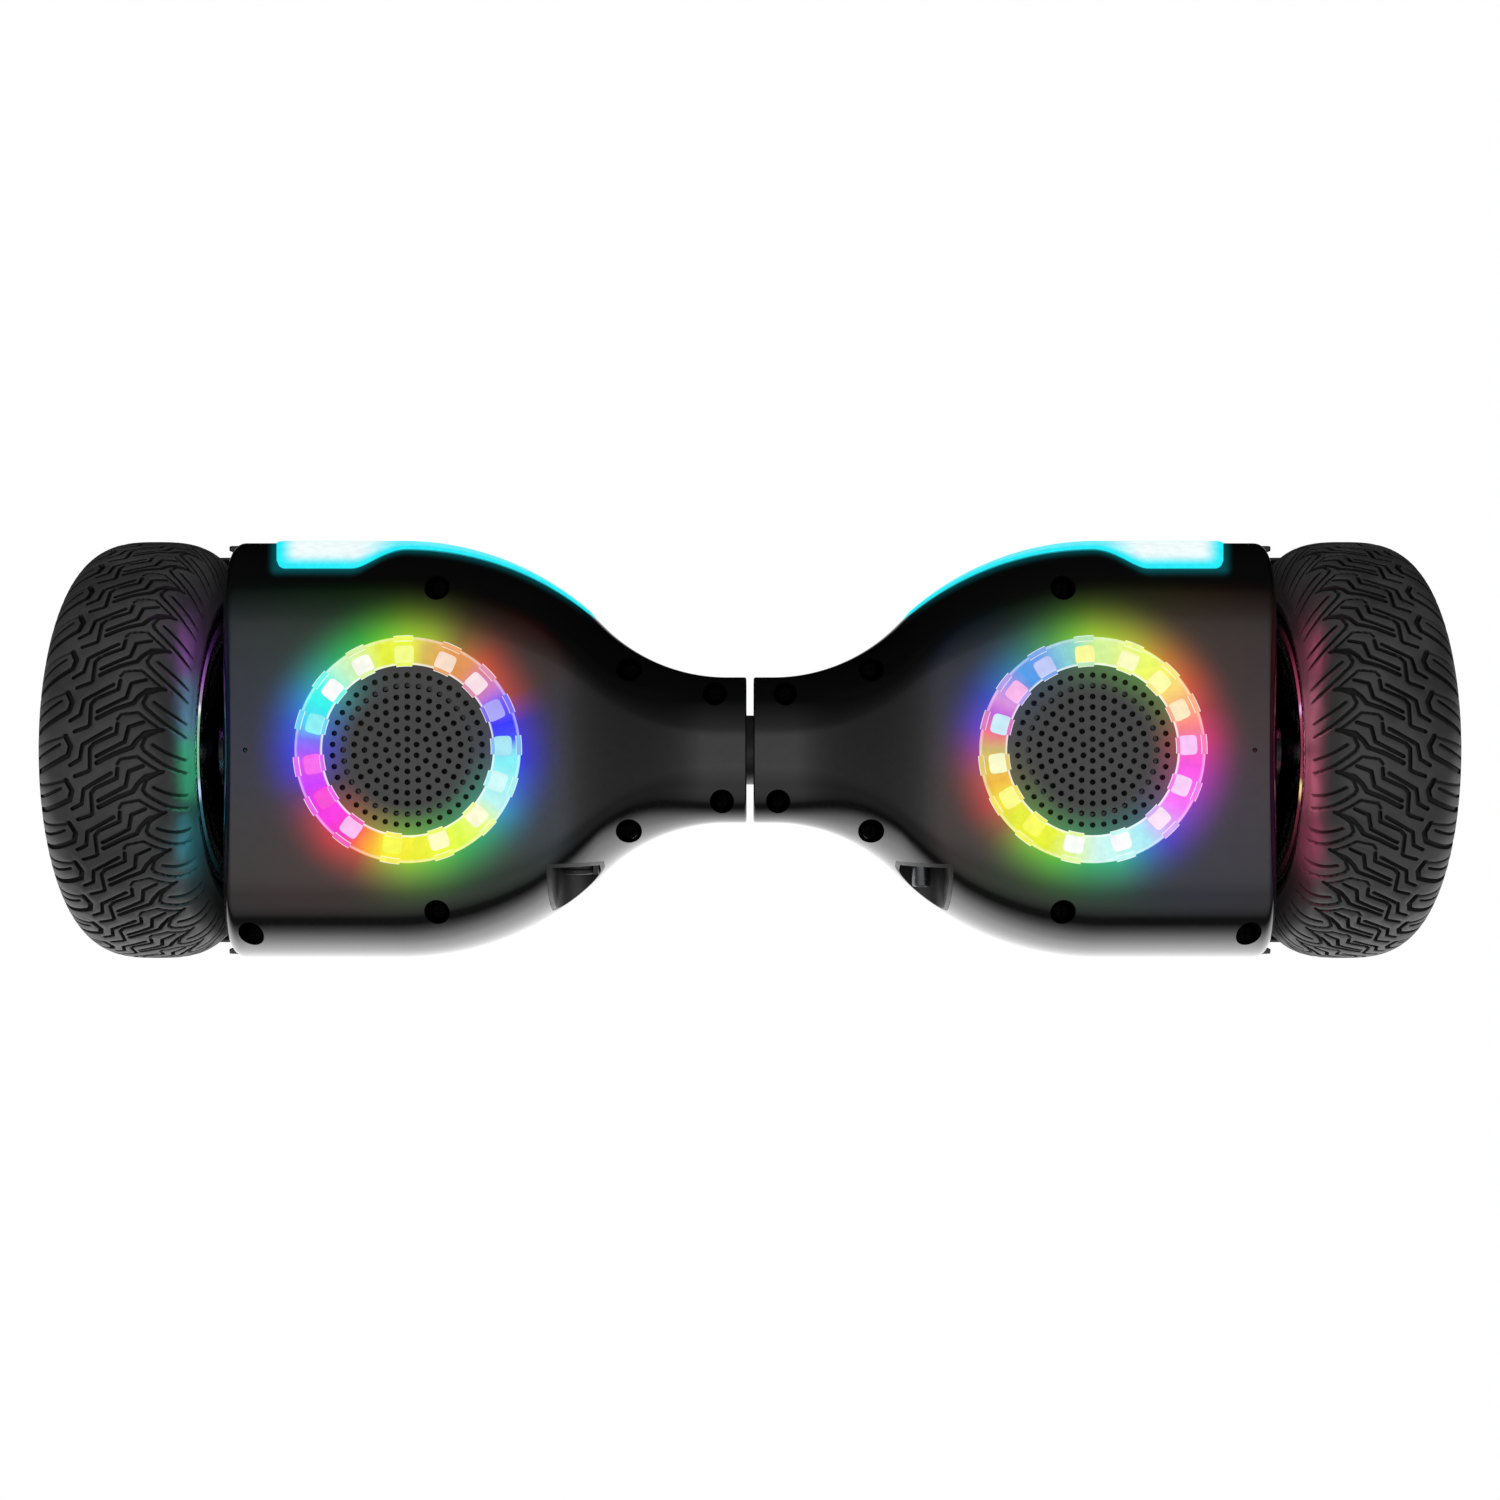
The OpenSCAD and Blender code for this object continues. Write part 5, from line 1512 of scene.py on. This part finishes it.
show_small(liner(), "button_well", 1, "right_half", satin_black, "button_housing")
b = Build()
turned_y(b, NOTCH_X, NOTCH_Z, BUTTON, NOTCH_Y, 60)
show_small(b.mesh("button"), "push_button", 1, "power_button", button_mat, "power_button")

# ---- Camera ----
VIEW_DISTANCE = 0.816
camera = bpy.data.cameras.new("camera")
camera.lens = 50.0
camera.sensor_width = 36.0
camera.clip_start, camera.clip_end = 0.01, 50.0
view = bpy.data.objects.new("camera", camera)
view.location = (0, 0, -VIEW_DISTANCE)
view.rotation_euler = (math.pi, 0, 0)
bpy.context.scene.collection.objects.link(view)
bpy.context.scene.camera = view

# ---- Floor: pale, seen from above only, fading out with distance ----
FLOOR_HALF = 9
FADE_START = 0.9
FADE_END = 3.2
paint = Nodes("floor")
paint.set(Base_Color=grey(0.86), Roughness=0.7, Specular_IOR_Level=0.2)
reach = paint.node("ShaderNodeVectorMath", operation="LENGTH")
paint.link(paint.place(), reach.inputs[0])
far = paint.spread(reach.outputs["Value"], FADE_START, FADE_END, 0.0, 1.0)
behind = paint.node("ShaderNodeNewGeometry").outputs["Backfacing"]
either = paint.node("ShaderNodeMixShader")
paint.link(paint.math("MAXIMUM", far, behind), either.inputs[0])
paint.link(paint.shader.outputs[0], either.inputs[1])
paint.link(paint.node("ShaderNodeBsdfTransparent").outputs[0], either.inputs[2])
paint.link(either.outputs[0], paint.tree.nodes["Material Output"].inputs["Surface"])
floor_mesh = bpy.data.meshes.new("floor")
corners = [(x * FLOOR_HALF, y * FLOOR_HALF, 0) for x, y in ((-1, -1), (1, -1), (1, 1), (-1, 1))]
floor_mesh.from_pydata(corners, [], [(0, 1, 2, 3)])
floor_mesh.materials.append(paint.material)
floor = bpy.data.objects.new("floor", floor_mesh)
bpy.context.scene.collection.objects.link(floor)
floor.visible_diffuse = floor.visible_glossy = floor.visible_transmission = floor.visible_shadow = False

# ---- Light ----
world = bpy.data.worlds.new("studio")
bpy.context.scene.world = world
world.use_nodes = True
tree = world.node_tree
for n in list(tree.nodes):
    tree.nodes.remove(n)
w = Nodes.__new__(Nodes)
w.tree = tree
right, rear, up = w.parts(w.node("ShaderNodeTexCoord").outputs["Generated"])
around = w.math("ARCTAN2", rear, w.math("MULTIPLY", up, -1.0))
around = w.math("ADD", w.math("DIVIDE", around, 2 * math.pi), 0.5)
# Degrees from straight up (0), over the front (90) and straight down (180), to the rear (270)
LEVELS = [(0, 1.0), (3, 0.9), (14, 0.0), (122, 0.0), (148, 0.14), (168, 0.3), (175, 0.42), (179, 0.82),
          (181.5, 1.0), (184, 0.88), (205, 0.6), (224, 0.6), (240, 0.35), (248, 0.06), (260, 0.05),
          (272, 0.6), (286, 1.5), (304, 2.0), (330, 1.6), (360, 1.0)]
STUDIO_STRENGTH = 2.0
level = w.ramp(around, [(a / 360, (v / STUDIO_STRENGTH,) * 3) for a, v in LEVELS])
sideways = w.spread(w.math("ABSOLUTE", right), 0.42, 0.92, 0.0, 0.7)
level = w.mix(w.product(sideways, w.spread(up, -0.15, 0.1, 1.0, 0.0)), level, grey(0.015))
studio, plain = w.node("ShaderNodeBackground"), w.node("ShaderNodeBackground")
w.link(level, studio.inputs["Color"])
studio.inputs["Strength"].default_value = STUDIO_STRENGTH
plain.inputs["Color"].default_value = grey(1)
choose = w.node("ShaderNodeMixShader")
w.link(w.node("ShaderNodeLightPath").outputs["Is Camera Ray"], choose.inputs[0])
w.link(studio.outputs[0], choose.inputs[1])
w.link(plain.outputs[0], choose.inputs[2])
w.link(choose.outputs[0], w.node("ShaderNodeOutputWorld").inputs["Surface"])


def softbox(name, place, aim, size, watts, colour=(1, 1, 1), gloss=False):
    lamp = bpy.data.lights.new(name, "AREA")
    lamp.shape = "SQUARE"
    lamp.size = size
    lamp.energy = watts
    lamp.color = colour
    o = bpy.data.objects.new(name, lamp)
    o.location = place
    way = Vector(aim) - Vector(place)
    o.rotation_euler = way.to_track_quat("-Z", "Y").to_euler()
    o.visible_glossy = gloss
    o.visible_camera = False
    bpy.context.scene.collection.objects.link(o)
    return lamp


MIDDLE = (0, 0, 0.09)
DECK = (0, 0, 0.1)
for box in (
    ("under", (0, 0.1, -1.6), MIDDLE, 1.6, 26),
    ("over", (0.3, -0.6, 1.8), DECK, 1.4, 30),
    ("rear", (0.2, 1.6, 0.9), DECK, 1.2, 12),
    ("front", (0, -1.5, -0.15), MIDDLE, 0.5, 16),
):
    softbox(*box)
SIDE_GLOW = {  # (y in mm, colour) of the light in the gap beside each tyre
    -1: [(-45, (0.6, 0.15, 0.85)), (-18, (0.2, 0.45, 0.75)), (8, (0.05, 0.95, 0.45)),
         (42, (0.05, 0.6, 0.75))],
    1: [(-45, (1.0, 0.15, 0.35)), (-15, (1.0, 0.25, 0.4)), (15, (1.0, 0.2, 0.35)), (45, (1.0, 0.12, 0.3))],
}
for side, name in SIDES:
    for y, colour in SIDE_GLOW[side]:
        rise = max(abs(y) - 20, 0) * 0.35
        place, aim = (side * 0.2135, y * MM, 0.028), (side * 0.225, y * MM, (22 + rise) * MM)
        lamp = softbox(f"{name}_side_glow", place, aim, 0.026, 0.007, colour, True)
        lamp.shape = "RECTANGLE"
        lamp.size_y = 0.004
bpy.context.scene.view_settings.view_transform = "Standard"
bpy.context.scene.view_settings.look = "None"
